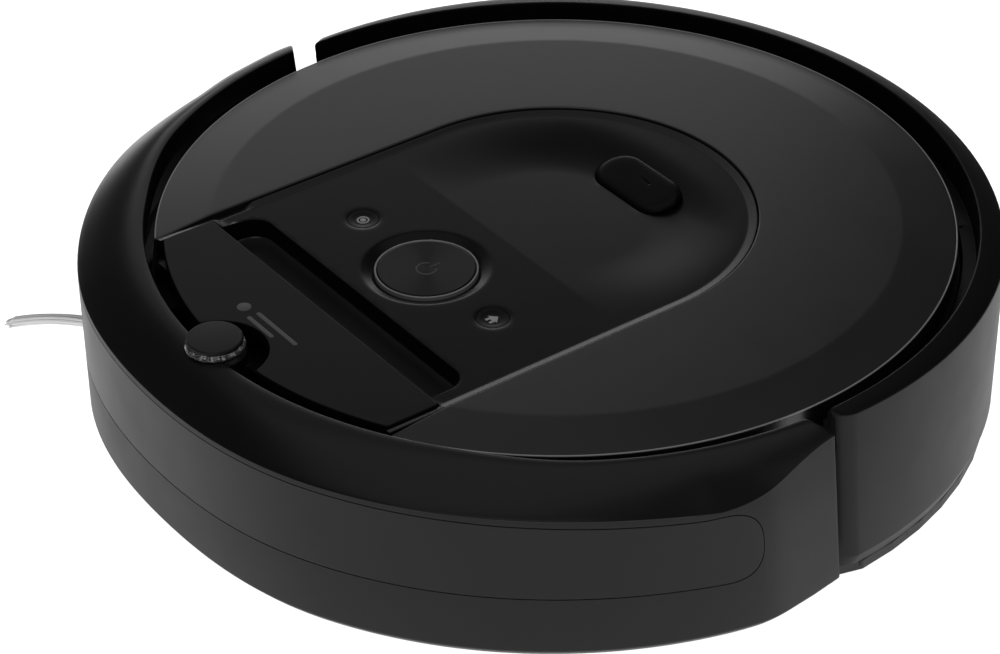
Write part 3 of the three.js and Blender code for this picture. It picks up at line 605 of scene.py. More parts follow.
def make_light(floor):
    """A softbox behind the object, weak fills, and a lamp that lights only the floor."""
    softbox("softbox_rear", 12, 60, (20, 45), (-16, -1), 1.6, 0.31, 2.2)
    for lamp in LAMPS:
        area(*lamp)
    wash = area("floor_wash", 0, 89, 3.0, (4.0, 4.0), 190)
    only = bpy.data.collections.new("floor_only")
    only.objects.link(floor)
    wash.light_linking.receiver_collection = only
    wash.light_linking.blocker_collection = only
    world = bpy.data.worlds.new("world")
    world.use_nodes = True
    world.node_tree.nodes["Background"].inputs["Color"].default_value = (1, 1, 1, 1)
    world.node_tree.nodes["Background"].inputs["Strength"].default_value = 0.06
    bpy.context.scene.world = world
    bpy.context.scene.view_settings.view_transform = "Standard"


# ---- outlines round the body

def circle_reach(turn, y, radius):
    along = -y * cos(radians(turn))
    return along + sqrt(radius ** 2 - y ** 2 + along ** 2)


def near_front(turn):
    """How much closer the rim comes to the handle than a circle would."""
    return RING["nearer"] * smooth((RING["from"] - abs(turn)) / RING["over"])


def ring_inner(turn):
    """Radius of the inner edge of the rim round the lid."""
    return circle_reach(turn, RING["y"], RING["radius"]) - near_front(turn)


def bumper_radius(turn):
    angle = abs(turn)
    swell = FLANK["front"] + PLAN["swell"] * smooth(angle / PLAN["corner"])
    swell += PLAN["more"] * smooth((angle - 32) / 22)
    if angle <= 60:
        return swell
    side = PLAN["side"] / (sin(radians(angle)) - PLAN["slope"] * cos(radians(angle)))
    return lower(swell, side, PLAN["soft"])


def rear_radius(turn):
    angle = min(turn, 360 - turn)
    return FLANK["rear"] - FLANK["pinch"] * (max(0, FLANK["side"] - angle) / 36) ** 1.3


def end_turn(side, radius, z):
    """Turn at which the slanted end face of the bumper or the rear housing meets a point."""
    start, splay, reach = END[side]
    y = start + splay * (radius - reach) - END["lean"] * (z - END["height"])
    return 90 + degrees(asin(y / radius))


def shoulder_lift(turn):
    """Lines along the flank climb with the swell of the bumper."""
    return 0.5 * (bumper_radius(min(abs(turn), 60)) - FLANK["front"])


def crease_height(turn):
    angle = abs(turn)
    share = min(angle, CREASE["low"]) / CREASE["low"]
    falling = CREASE["front"] + shoulder_lift(turn) - CREASE["fall"] * share ** 6
    return falling + CREASE["climb"] * smooth((angle - CREASE["turn"]) / CREASE["over"])


def bumper_foot(turn):
    return BUMPER["foot"] - BUMPER["drop"] * (min(abs(turn), BUMPER["side"]) / BUMPER["side"]) ** 5


def window_end(grow):
    """Turn at which the window's round end starts, and the turn that it spans."""
    half = (window_top(WINDOW["end"]) - window_foot(WINDOW["end"])) / 2
    start = WINDOW["end"] - degrees(half / bumper_radius(WINDOW["end"]))
    return start, degrees((half + grow) / bumper_radius(WINDOW["end"]))


def window_span(turn, grow):
    """Lowest and highest point of the window at a turn. They are the same past its ends."""
    start, reach = window_end(grow)
    over = max(0, abs(turn) - start) / reach
    centre = (window_top(turn) + window_foot(turn)) / 2
    share = max(0, 1 - over ** WINDOW["power"]) ** (1 / WINDOW["power"])
    tall = (window_top(turn) - centre + grow) * share
    return centre - tall, centre + tall


def window_top(turn):
    return WINDOW["top"] + shoulder_lift(turn) - 5 * (min(abs(turn), 70) / 70) ** 4


def window_foot(turn):
    return WINDOW["foot"] + shoulder_lift(turn) - 3.7 * (abs(turn) / 75) ** 6


def window_turns(grow):
    """Turns of the window's sections, close together at its round ends."""
    start, reach = window_end(grow)
    round_end = [start + reach * sin(radians(a)) for a in spread(0, 90, 18)]
    body = spread(-start, start, 96)[1:-1]
    return [-t for t in reversed(round_end)] + body + round_end


# ---- bumper

def bumper_section(turn, fallen):
    """The shell's outline at a turn: flank, pocket for the window, brow and rim. fallen pulls it in."""
    outer = bumper_radius(turn) - fallen
    inner = ring_inner(turn)
    crease = crease_height(turn)
    foot = bumper_foot(turn)
    low, high = window_span(turn, 0)
    deep = outer - (WINDOW["depth"] if high - low > 1e-6 else 0)

    def brow(share, drop=0):
        rise = (RING["top"] - crease) * (1 - (1 - share) ** 1.7)
        return (outer + (inner + 1.4 - outer) * share, crease + rise - drop - fallen * 0.4)

    corners = [(outer - BUMPER["taper"], foot - BUMPER["lip"], 0.7), (outer, foot, 2.0)]
    corners += [(outer, low), (deep, low), (deep, high), (outer, high)]
    corners += [(outer, crease - fallen * 0.4, 0.9)]
    corners += [brow(share) for share in (0.10, 0.17, 0.25, 0.34, 0.44, 0.55, 0.67, 0.8, 0.93)]
    corners += [(inner, RING["top"] - 0.05, 0.8), (inner, BUMPER["skirt"], 0.3)]
    corners += [(inner + 2.2, BUMPER["skirt"]), (inner + 2.2, RING["top"] - 3.1), brow(0.6, 3)]
    corners += [(outer - BUMPER["wall"], crease - 3), (outer - BUMPER["wall"], foot + 1.3)]
    corners += [(outer - BUMPER["taper"] - 2.4, foot - BUMPER["lip"] + 2)]
    return soften(corners, 3)


def paint_shell(shell, top, slope):
    """Gives a shell's upper faces a finish of their own, and its inner walls and end faces a darker plastic
    as painted shade for the gaps between parts.
    """
    shell.data.materials.append(LOOKS[top])
    shell.data.materials.append(LOOKS["gap"])
    for face in shell.data.polygons:
        outward = Vector((face.center.x, face.center.y, 0)).normalized().dot(face.normal)
        along = face.normal.x * face.center.y - face.normal.y * face.center.x
        # inner walls and end faces get the darker plastic: painted shade
        if outward < -0.5 or abs(along) > 0.8 * hypot(face.center.x, face.center.y):
            face.material_index = 2
        elif face.normal.z > slope:
            face.material_index = 1


def make_bumper():
    ends = [0, 0.15, 0.4, 0.8, 1.4, 2.4]
    reach = 90 * radians(1) * FLANK["front"]
    edge_turns = [90 - 90 * d / reach for d in ends]
    turns = window_turns(0) + [-t for t in edge_turns] + edge_turns
    turns += [sign * t for sign in (-1, 1) for t in spread(WINDOW["end"] + 1, 88, 14)]
    loops = []
    for turn in sorted(set(round(t, 5) for t in turns)):
        to_end = reach * (1 - abs(turn) / 90)
        section = bumper_section(turn, tuck(to_end, 1.2))
        loops.append([polar(turn / 90 * end_turn("bumper", r, z), r, z) for r, z in section])
    shell = piece("bumper_shell_skin", loft(loops), "flank", "bumper",
                  ["bumper_shell"], sharp=28)
    paint_shell(shell, "bumper_top", 0.12)

    loops = []
    for turn in window_turns(-WINDOW["gap"]):
        low, high = window_span(turn, -WINDOW["gap"])
        if high - low < 0.3:
            continue
        outer = bumper_radius(turn)
        back = outer - WINDOW["skin"]
        section = soften([(back, low), (outer, low, 0.2), (outer, high, 0.2), (back, high)], 2)
        loops.append([polar(turn / 90 * end_turn("bumper", r, z), r, z) for r, z in section])
    piece("window_band", loft(loops), "window", "bumper", ["bumper_window"], sharp=20)


def make_knob():
    low, reach = KNOB["low"], KNOB["collar"]
    collar = soften([(0, low), (reach, low, 0.4), (reach, 86.2, 0.8), (reach - 1.0, 87.7, 0.6), (0, 87.7)])
    piece("knob_collar", turned(collar, 0, KNOB_Y), "bumper_top", "bumper", ["knob_base"])
    band = soften([(0, 87.75), (10.1, 87.75, 0.4), (KNOB["band"], 88.8, 0.8), (10.1, 90.35, 0.3),
                   (0, 90.35)], 6)
    piece("knob_band", turned(band, 0, KNOB_Y), "smoke", "bumper", ["knob_lens"])
    loops = []
    for radius, z in ((8.6, 87.85), (9.2, 88.4), (8.4, 89.2), (9.0, 90.2)):
        fluted = [radius + 0.35 * cos(radians(14 * t)) for t in range(0, 360, 3)]
        loops.append([polar(3 * k, r, z) for k, r in enumerate(fluted)])
    core = moved(loft(loops), Matrix.Translation((0, KNOB_Y, 0)))
    piece("knob_core", core, "mirror", "bumper", sharp=60)
    top, reach = KNOB["top"], KNOB["radius"]
    crown = soften([(0, 90.4), (reach, 90.4, 0.35), (reach, 91.4, 0.35), (9.55, top, 0.3), (0, top)])
    piece("knob_top", turned(crown, 0, KNOB_Y), "knob_cap", "bumper", ["knob_cap"], sharp=50)


# ---- rear housing

def rear_section(turn, low, fallen):
    """The rear housing's outline at a turn, from its lower edge at low up to the rim."""
    outer = rear_radius(turn) - fallen
    inner = ring_inner(turn)
    wall = outer - FLANK["wall"]
    foot = (low + FLANK["foot"] - FLANK["low"], 1.5) if low < MOUTH["high"] else (low + 0.8, 0.3)
    corners = [(outer - 1.6 if low < MOUTH["high"] else outer - 0.6, low, 0.3), (outer, *foot)]
    corners += [(outer, 85.9 - fallen * 0.3, 1.0), (inner, RING["top"] - 0.05, 0.8)]
    corners += [(inner, 75.4, 0.4), (inner - 5.4, 75.4, 0.3), (inner - 5.4, 73.4), (inner + 2.2, 73.4)]
    corners += [(inner + 2.2, 84.8), (wall, 83.2), (wall, low)]
    return soften(corners, 4)


def make_rear_housing():
    """A shell from one end face to the other, notched at the rear for the dust bin."""
    start, sweep = 92, 176
    length = radians(sweep) * FLANK["rear"]
    radius = 4.0

    def angle_at(share):
        def at(r, z):
            first = end_turn("rear", r, z)
            return first + share * (360 - 2 * first)
        return at

    def jamb(side):
        return lambda r, z: 180 - side * degrees(asin(MOUTH["half"] / r))

    near = [d / length for d in (0, 0.1, 0.3, 0.7, 1.2, 1.8, 2.5, 3.2, 4.0)]
    edge = (180 - degrees(asin(MOUTH["half"] / FLANK["rear"])) - start) / sweep
    shares = near + spread(radius / length, edge - 0.012, 30)[1:]
    sections = [(angle_at(s), start + sweep * s, FLANK["low"], tuck(s * length, radius)) for s in shares]
    turn = start + sweep * edge
    sections += [(jamb(1), turn, FLANK["low"], 0), (jamb(1), turn, MOUTH["high"], 0)]
    middle_shares = spread(edge + 0.012, 0.5, 20)
    sections += [(angle_at(s), start + sweep * s, MOUTH["high"], 0) for s in middle_shares]
    loops = [[polar(at(r, z), r, z) for r, z in rear_section(turn, low, fallen)]
             for at, turn, low, fallen in sections]
    mirrored = [[(-x, y, z) for x, y, z in loop] for loop in reversed(loops[:-1])]
    shell = piece("rear_shell", loft(loops + mirrored), "flank", "chassis",
                  ["rear_housing"], sharp=28)
    paint_shell(shell, "rear_top", 0.3)


# ---- lid, panel, handle and trough

def lid_height(x, y):
    beyond = hypot(x, y - LID["y"]) - LID_FLAT
    return lower(LID["top"], LID["top"] - LID_FALL * beyond, 0.03)


def notched(half, radius):
    """The lid's outline: a circle, open at the front for the tongue."""
    mouth = degrees(asin(half / radius))
    round_rim = arc(0, LID["y"], radius, -90 + mouth + 0.4, 270 - mouth - 0.4, 260)
    y = LID["y"] - sqrt(radius ** 2 - half ** 2)
    left = [(-half, step) for step in spread(y + 1.2, LID["y"], 40)[:-1]]
    bow = arc(0, LID["y"], half, 180, 0, 120)
    right = [(half, step) for step in spread(LID["y"], y + 1.2, 40)[1:]]
    return round_rim + left + bow + right


def make_lid():
    marks = [p for r in (-1.2, -0.4, 0.4, 1.2) for p in circle(0, LID["y"], LID_FLAT + r, 540)]
    marks = [p for p in marks if p[1] > LID["y"] or abs(p[0]) > TONGUE["notch"] + 2]
    outline = notched(TONGUE["notch"], LID["radius"])
    shape = plate(outline, LID["low"], LID["top"], edge=0.7, height=lid_height, spacing=5, marks=marks,
                  steps=5)
    piece("lid_disc", shape, "lid", "chassis", ["faceplate"], sharp=40, weighted=True)
    # a thin light bead round the lid's edge: painted highlight where the edge catches the light
    mouth = degrees(asin(TONGUE["notch"] / LID["radius"])) + 0.6
    edge = lid_height(0, LID["y"] + LID["radius"] - 0.3) - 0.25
    loops = []
    for angle in spread(-90 + mouth, 270 - mouth, 300):
        swing = radians(angle)
        loops.append([((LID["radius"] - 0.35 + a) * cos(swing), LID["y"] + (LID["radius"] - 0.35 + a)
                       * sin(swing), edge + b) for a, b in circle(0, 0, 0.34, 10)])
    piece("lid_painted_rim_highlight", loft(loops), "painted_rim_highlight", "chassis")


def tongue_rim(x, y):
    """Distance in from the tongue's edge."""
    return TONGUE["half"] - (hypot(x, y - LID["y"]) if y > LID["y"] else abs(x))


def scoop_depth(x, y):
    """Depth of the hollow that leads to the camera, from a straight crease across the panel."""
    ramp = SCOOP["slope"] * higher(0, y - SCOOP["y"], 0.1)
    sides = smooth((tongue_rim(x, y) - 5) / SCOOP["sides"])
    behind = smooth((LID["y"] + SCOOP["rear"] - y) / SCOOP["blend"])
    return ramp * sides * behind


def tongue_height(x, y):
    """The panel's top: its rim, the hollow to the camera and the dishes round the buttons."""
    z = TONGUE["floor"] - scoop_depth(x, y)
    rim = max(0, TONGUE["rim"] - tongue_rim(x, y))
    beside = smooth((ARM["y"] - y) / ARM["blend"]) if x < 0 else 0
    z += (1 - beside) * TONGUE["rise"] * min(1, rim / (TONGUE["rim"] - 0.3))
    if abs(x) > TROUGH["half"]:
        z += beside * (ARM["lift"] * smooth((ARM["front"] - y) / ARM["fade"]) - ARM["slope"] * rim)
    from_button = hypot(x, y - BUTTON_Y)
    z -= DISH["slope"] * higher(0, DISH["radius"] - from_button, 0.2)
    from_small = hypot(abs(x) - SMALL["x"], y - BUTTON_Y)
    return z - SMALL["slope"] * higher(0, SMALL["dish"] - from_small, 0.5)


def tongue_outline(half):
    """The panel's edge. Two thin arms reach forward along the sides of the handle."""
    tip = LID["y"] - sqrt(LID["radius"] ** 2 - half ** 2) + 1
    straight = spread(tip, LID["y"], 80)
    right = [(half, y) for y in straight[:-1]]
    left = [(-half, y) for y in reversed(straight[:-1])]
    side, rear, corner = TROUGH["half"], TROUGH["rear"], TROUGH["corner"]
    arm, front = HANDLE["half"] + 0.3, HANDLE["rear"] + 0.4
    bay = [(-arm, tip), (-arm, front), (-side, front)]
    bay += arc(-side + corner, rear - corner, corner, 180, 90, 12)
    bay += [(x, rear) for x in spread(-side + corner, side - corner, 60)[1:-1]]
    bay += arc(side - corner, rear - corner, corner, 90, 0, 12)
    bay += [(side, front), (arm, front), (arm, tip)]
    return right + arc(0, LID["y"], half, 0, 180, 150) + left + bay


def make_tongue():
    holes = [circle(0, BUTTON_Y, DISH["hole"], 120)]
    holes += [circle(side * SMALL["x"], BUTTON_Y, SMALL["hole"], 56) for side in (-1, 1)]
    flat = cos(radians(CAMERA["tilt"]))
    throat = stadium(CAMERA["length"] + 0.8, CAMERA["width"] + 0.8, 20)
    holes.append([(x, CAMERA["y"] + y * flat) for x, y in throat])
    marks = [p for r in (0.9, 0, -0.9) for p in circle(0, BUTTON_Y, DISH["radius"] + r, 160)]
    marks += [p for side in (-1, 1) for r in (0.6, 0)
              for p in circle(side * SMALL["x"], BUTTON_Y, SMALL["dish"] + r, 56)]
    for inset in (TONGUE["rim"] + 0.7, TONGUE["rim"], TONGUE["rim"] - 0.7, 0.9):
        half = TONGUE["half"] - inset
        marks += arc(0, LID["y"], half, 0, 180, 160)
        straight = spread(TONGUE["front"] + 1, LID["y"] - 1, 70)
        marks += [(side * half, y) for side in (-1, 1) for y in straight]
    marks += [(x, SCOOP["y"] + y) for y in (-0.5, 0, 0.5) for x in spread(-66, 66, 88)]
    shape = plate(tongue_outline(TONGUE["half"]), TONGUE["low"], TONGUE["floor"], holes=holes, edge=0.3,
                  height=tongue_height, spacing=1.7, marks=marks)
    panel = piece("control_panel", shape, "panel", "chassis", ["tongue_panel"], sharp=42)
    # rim faces get a lighter, shinier copy of the panel plastic: painted highlight where the rim catches
    # the light
    panel.data.materials.append(LOOKS["bevel"])
    for face in panel.data.polygons:
        if face.normal.z > 0.5 and tongue_rim(face.center.x / MM, face.center.y / MM) < TONGUE["rim"]:
            face.material_index = 1


def make_trough():
    side, rear, corner = TROUGH["half"], TROUGH["rear"] - 0.2, TROUGH["corner"]

    def bay(grow, z, radius):
        outline = rounded(-side - grow, side + grow, TROUGH["reach"] - grow, rear + grow, radius, 10)
        return raised(outline, z)

    loops = [bay(1.9, TROUGH["low"], corner), bay(1.9, 76.9, corner), bay(0.3, 76.9, corner),
             bay(0, 76.5, corner - 0.3)]
    depth, fillet = TROUGH["floor"], 6.5
    for angle in spread(0, pi / 2, 8):
        inset = fillet * (1 - cos(angle))
        loops.append(bay(-inset, depth + fillet * (1 - sin(angle)), max(1.2, corner - inset)))
    loops.append(bay(-10, depth - 0.1, 2))
    # the tray gets the lightened trough plastic: painted light in the trough
    piece("trough_tray", loft(loops), "trough", "chassis", ["finger_trough"], sharp=40)


def handle_outline():
    half, radius, bite = HANDLE["half"], HANDLE["radius"], HANDLE["bite"]
    mouth = degrees(asin(half / radius))
    gap = LID["y"] - KNOB_Y
    along = (radius ** 2 - bite ** 2 + gap ** 2) / (2 * gap)
    across = sqrt(radius ** 2 - along ** 2)
    bite_turn = degrees(asin(across / radius)) + 0.35
    rise = degrees(atan2(LID["y"] - along - KNOB_Y, across)) + 2
    left = arc(0, LID["y"], radius, 270 - mouth + 0.3, 270 - bite_turn, 36)
    hollow = arc(0, KNOB_Y, bite, 180 - rise, rise, 40)
    right = arc(0, LID["y"], radius, 270 + bite_turn, 270 + mouth - 0.3, 36)
    rear = [(x, HANDLE["rear"]) for x in spread(half - 0.8, -half + 0.8, 40)]
    y = LID["y"] - sqrt(radius ** 2 - half ** 2)
    return left + hollow + right + [(half, y + 0.8), (half, HANDLE["rear"] - 0.8)] + rear \
        + [(-half, HANDLE["rear"] - 0.8), (-half, y + 0.8)]


def make_handle():
    shape = plate(handle_outline(), HANDLE["low"], HANDLE["high"], edge=0.5, under=0.5)
    parts = [shape]
    for side in (-1, 1):
        ear = soften([(PIVOT["y"] + 4, HANDLE["low"] + 1), (PIVOT["y"] - 3, HANDLE["low"] + 1),
                      (PIVOT["y"] - 3, PIVOT["z"] - 3, 3), (PIVOT["y"] + 4, PIVOT["z"] - 2, 3)], 8)
        loops = [[(side * PIVOT["x"] + w, y, z) for y, z in ear] for w in (-3, 3)]
        parts.append(loft(loops))
    piece("carry_handle", join(*parts), "handle", "handle", ["handle"], sharp=50,
          weighted=True)
    # a plain mark: a dot and two bars
    top = HANDLE["high"] + 0.02
    mark = [plate(circle(-17, -121, 2.6, 40), top - 0.2, top, edge=0.05, under=0.02)]
    for y, length in ((-119.2, 25), (-123.2, 16)):
        bar = [(x + length / 2 - 11, y + v) for x, v in stadium(length, 1.7, 8)]
        mark.append(plate(bar, top - 0.2, top, edge=0.05, under=0.02))
    piece("handle_mark", join(*mark), "mark", "handle")


def make_buttons():
    inner, outer, reach = CAP["ring"], CAP["outer"], CAP["radius"]
    ring = soften([(inner, 79, 0.1), (outer, 79, 0.1), (outer, 84.35, 0.3), (inner, 84.35, 0.3)], 5)
    piece("button_ring", turned(ring, 0, BUTTON_Y, 120, wrap=True), "ring", "chassis",
          ["light_ring"])
    cap_line = soften([(0, 79.4), (reach, 79.4, 0.3), (reach, 84.3, 0.25), (17.4, 84.4, 0.3), (0, 84.1)], 5)
    piece("button_cap", turned(cap_line, 0, BUTTON_Y, 120), "button", "clean_button",
          ["clean_button"])
    dial = [arc(0, BUTTON_Y, 4.0, 125, 415, 48), arc(0, BUTTON_Y, 3.35, 415, 125, 48)]
    tick = [(x, BUTTON_Y + 3.9 + y) for y, x in stadium(4.6, 0.65, 6)]
    sign = [plate(dial[0] + dial[1], 83.9, 84.22, edge=0.03, under=0.01),
            plate(list(reversed(tick)), 83.9, 84.24, edge=0.03, under=0.01)]
    piece("button_sign", join(*sign), "hub", "clean_button")
    for name, side in (("spot_button", -1), ("dock_button", 1)):
        x = side * SMALL["x"]
        rim = TONGUE["floor"] - SMALL["slope"] * (SMALL["dish"] - SMALL["hole"])
        line = soften([(0, 80), (SMALL["radius"], 80, 0.2), (SMALL["radius"], rim, 0.06),
                       (3.6, rim - 0.33, 6), (0, rim - 0.5)], 6)
        piece(name + "_cap", turned(line, x, BUTTON_Y, 64), "panel", name, [name])
    high = TONGUE["floor"] - SMALL["slope"] * SMALL["dish"] + 0.6
    spot = turned(soften([(1.75, high - 0.5), (2.4, high - 0.5), (2.4, high, 0.05), (1.75, high, 0.05)], 2),
                  -SMALL["x"], BUTTON_Y, 48, wrap=True)
    dot = plate(circle(-SMALL["x"], BUTTON_Y, 1.15, 32), high - 0.5, high, edge=0.05, under=0.02)
    piece("spot_sign", join(spot, dot), "icon", "spot_button")
    house = [(-2.7, -0.2), (-1.7, -0.2), (-1.7, -2.4), (-0.6, -2.4), (-0.6, -0.9), (0.6, -0.9), (0.6, -2.4),
             (1.7, -2.4), (1.7, -0.2), (2.7, -0.2), (0, 2.4)]
    home = [(SMALL["x"] + a, BUTTON_Y + b) for a, b in house]
    piece("dock_sign", plate(home, high - 0.5, high, edge=0.05, under=0.02), "icon", "dock_button")


def make_camera_pod():
    tilt = Matrix.Rotation(radians(CAMERA["tilt"]), 4, "X")
    place = Matrix.Translation((0, CAMERA["y"], CAMERA["z"])) @ tilt
    rows = [(0, -5), (0, 0.2), (0.2, 0.9), (0.8, 1.5), (1.7, 1.85), (3.0, 2.0), (5.0, 2.05), (6.5, 2.05)]
    loops = [raised(stadium(CAMERA["length"] - 2 * inset, CAMERA["width"] - 2 * inset, 20), z)
             for inset, z in rows]
    eye = (2.0, 1.6)
    for radius, z in ((3.4, 2.05), (2.9, 2.05), (2.5, 1.7), (2.45, -1.5)):
        rim = []
        for x, y, _ in loops[-1]:
            angle = atan2(y - eye[1] * 0.2, x - eye[0] * 0.2)
            rim.append((eye[0] + radius * cos(angle), eye[1] + radius * sin(angle), z))
        loops.append(rim)
    piece("camera_pod", moved(loft(loops), place), "bezel", "chassis", ["camera_bezel"],
          sharp=50, weighted=True)
    dome = soften([(0, -1.4), (2.3, -1.4, 0.2), (2.3, 0.7, 0.3), (1.5, 1.5, 1.2), (0, 1.75)], 5)
    glass = turned(dome, *eye, 48)
    piece("camera_glass", moved(glass, place), "lens", "chassis", ["camera_lens"])


# ---- underside

def cross(length, width):
    """A plus sign, as pressed into a screw's head."""
    a, b = length / 2, width / 2
    return [(b, -a), (b, -b), (a, -b), (a, b), (b, b), (b, a),
            (-b, a), (-b, b), (-a, b), (-a, -b), (-b, -b), (-b, -a)]


def screw_head(x, y, z, radius):
    """A cross-head screw that faces down, with its face at z."""
    face = Matrix.Translation((x, y, z)) @ Matrix.Rotation(pi, 4, "X")
    slot = cross(radius * 1.2, radius * 0.34)
    head = plate(circle(0, 0, radius, 40), -1.4, 0, holes=[slot], edge=0.35, under=0.05)
    pit = plate(circle(0, 0, radius * 0.8, 24), -1.3, -0.9, edge=0.02, under=0.02)
    return moved(join(head, pit), face)


def strip_plate(first, last, inner, outer, low, high, steps=40):
    """A curved strip round the rear of the body. inner and outer are radii as functions of the turn."""
    turns = spread(first, last, steps)
    outline = [polar(t, outer(t), 0)[:2] for t in turns]
    outline += [polar(t, inner(t), 0)[:2] for t in reversed(turns)]
    return plate(outline, low, high, edge=0.5, under=0.6)


def make_underside():
    skirt = []
    for first, last, reach in ((96.5, 113.5, -2.2), (124.5, 133.5, -2.2)):
        for turns in ((first, last), (360 - last, 360 - first)):
            edges = (lambda t: rear_radius(t) - 12, lambda t: rear_radius(t) + reach)
            skirt.append(strip_plate(*turns, *edges, UNDER + 1.4, UNDER + 5.0))
    piece("base_lip", join(*skirt), "flank", "chassis")

    ribs = []
    for side in (-1, 1):
        well = rounded(side * 111.75 - 21.4, side * 111.75 + 21.4, -48.2, 43.2, 4, 6)
        mouth = rounded(side * 111.75 - 19.6, side * 111.75 + 19.6, -46.4, 41.4, 3, 6)
        ribs.append(plate(well, UNDER - 0.7, UNDER + 0.3, holes=[mouth], edge=0.2, under=0.3))
        bar = [(side * 60 + x, y - 118) for y, x in reversed(stadium(16, 1.6, 6))]
        ribs.append(plate(bar, UNDER - 0.5, UNDER + 0.3, edge=0.1, under=0.3))
    hatch = rounded(-68.4, 82.4, -98.4, -48.6, 6, 8)
    within = rounded(-67.4, 81.4, -97.4, -49.6, 5, 8)
    ribs.append(plate(hatch, UNDER - 0.5, UNDER + 0.2, holes=[within], edge=0.15, under=0.2))
    well, mouth = (circle(0, -122, radius, 96) for radius in (24.6, 22.2))
    ribs.append(plate(well, UNDER - 0.7, UNDER + 0.3, holes=[mouth], edge=0.2, under=0.4))
    piece("base_ribs", join(*ribs), "under", "chassis", sharp=30)

    places = [(-38, -106), (38, -106), (-128, -62), (128, -62), (-134, 52), (134, 52), (-96, 88),
              (-84, -30), (84, -30)]
    heads = [screw_head(x, y, UNDER - 0.5, 2.9) for x, y in places]
    piece("base_screws", join(*heads), "steel", "chassis")
    for number in (1, 2):
        node = f"cover_screw_{number}"
        centre = middle(node)
        head = screw_head(centre.x, centre.y, UNDER + 0.4, 2.6)
        piece(f"cover_screw_head_{number}", head, "steel", "chassis", [node])

    low, high = box("battery_cover")
    bars = []
    for k in range(9):
        bar = [(x + (low.x + high.x) / 2 + 12 * (k - 4), y + (low.y + high.y) / 2)
               for y, x in stadium(28, 3, 8)]
        bars.append(plate(list(reversed(bar)), low.z - 0.6, low.z + 0.4, edge=0.2, under=0.5))
    piece("cover_ribs", join(*bars), "under", "chassis", sharp=30)


def tread_loops(x, side):
    """A tyre's sections along its axle, with slanted grooves pressed into the tread."""
    top, half, lugs = WHEEL["radius"], WHEEL["half"], WHEEL["lugs"]
    line = soften([(WHEEL["hub"], -half + 0.3), (top - 1.6, -half + 0.3, 1.2), (top, -half + 2.4, 1.2)], 4)
    line += [(top, along) for along in spread(-half + 3, half - 3, 12)]
    line += soften([(top, half - 2.4, 1.2), (top - 1.6, half - 0.3, 1.2), (WHEEL["hub"], half - 0.3)], 4)
    sides = lugs * 10
    loops = []
    for radius, along in line:
        loop = []
        for k in range(sides):
            angle = 2 * pi * k / sides
            phase = (lugs * k / sides + side * abs(along) / 9) % 1
            groove = smooth(phase / 0.12) * smooth((0.42 - phase) / 0.12)
            deep = 1.5 * groove * smooth((radius - top + 2.2) / 1.6)
            reach = radius - deep
            loop.append((x + along, reach * cos(angle), WHEEL["z"] + reach * sin(angle)))
        loops.append(loop)
    return loops


def make_wheels():
    for name, side in (("left", 1), ("right", -1)):
        x = side * WHEEL["x"]
        piece(f"{name}_tread", loft(tread_loops(x, side), wrap=True), "rubber", f"{name}_wheel",
              [f"{name}_tyre"], sharp=45)
        out = side
        dish = soften([(0, out * 7.2), (8.4, out * 7.2, 0.5), (9.2, out * 4.6, 0.6), (22.6, out * 4.6, 0.8),
                       (24.6, out * 7.1, 0.5), (27.9, out * 7.1, 0.4), (27.9, -out * 7.8, 0.4),
                       (7.2, -out * 7.8)], 4)
        hub = spun(dish, x, 0, WHEEL["z"], 96)
        spokes = []
        for turn in range(0, 360, 60):
            spoke = loft([[(x + out * a, y, z) for y, z in rounded(8.2, 24.4, -w, w, 0.5, 3)]
                          for a, w in ((4.4, 1.7), (6.2, 1.5), (6.6, 1.2))])
            swing = Matrix.Rotation(radians(turn), 4, "X")
            spokes.append(moved(spoke, Matrix.Translation((0, 0, WHEEL["z"])) @ swing))
        piece(f"{name}_hub_skin", join(hub, *spokes), "hub", f"{name}_wheel",
              [f"{name}_wheel_hub"], sharp=40)

    centre = middle("caster_wheel")
    roll = soften([(0, -11.9), (1.9, -11.9, 0.3), (1.9, -7), (13.2, -7, 0.5), (14.9, -5.2, 1.2),
                   (14.9, 5.2, 1.2), (13.2, 7, 0.5), (1.9, 7), (1.9, 11.9, 0.3), (0, 11.9)], 5)
    piece("caster_tread", spun(roll, 0, centre.y, centre.z, 96), "rubber", "caster_wheel",
          ["caster_wheel"], sharp=40)


def make_rollers():
    """Rubber rollers with six fins that twist both ways from the middle."""
    sides = 132
    for name, phase in (("front_roller", 0), ("rear_roller", 30)):
        centre = middle(name)
        loops = []
        for x in spread(-ROLLER["reach"], ROLLER["reach"], 84):
            twist = phase + ROLLER["twist"] * abs(x) / ROLLER["reach"]
            fade = 1 if abs(x) < ROLLER["reach"] - 1 else 0.55
            loop = []
            for k in range(sides):
                turn = 360 * k / sides
                wave = cos(radians((turn - twist) * ROLLER["fins"]))
                fin = max(0, wave) ** 7
                radius = (ROLLER["core"] + (ROLLER["radius"] - ROLLER["core"]) * fin) * fade
                angle = radians(turn)
                loop.append((x, centre.y + radius * cos(angle), centre.z + radius * sin(angle)))
            loops.append(loop)
        ends = []
        for out in (-1, 1):
            tip = soften([(0, out * 76.5), (8.4, out * 76.5), (8.4, out * 77.9, 0.4),
                          (2.4, out * 78.2, 0.3), (2.4, out * 83.9, 0.4), (0, out * 83.9)], 3)
            ends.append(spun(tip, 0, centre.y, centre.z, 40))
        piece(name + "_rubber", loft(loops), "green", name, [name], sharp=50)
        piece(name + "_ends", join(*ends), "hub", name, sharp=40)


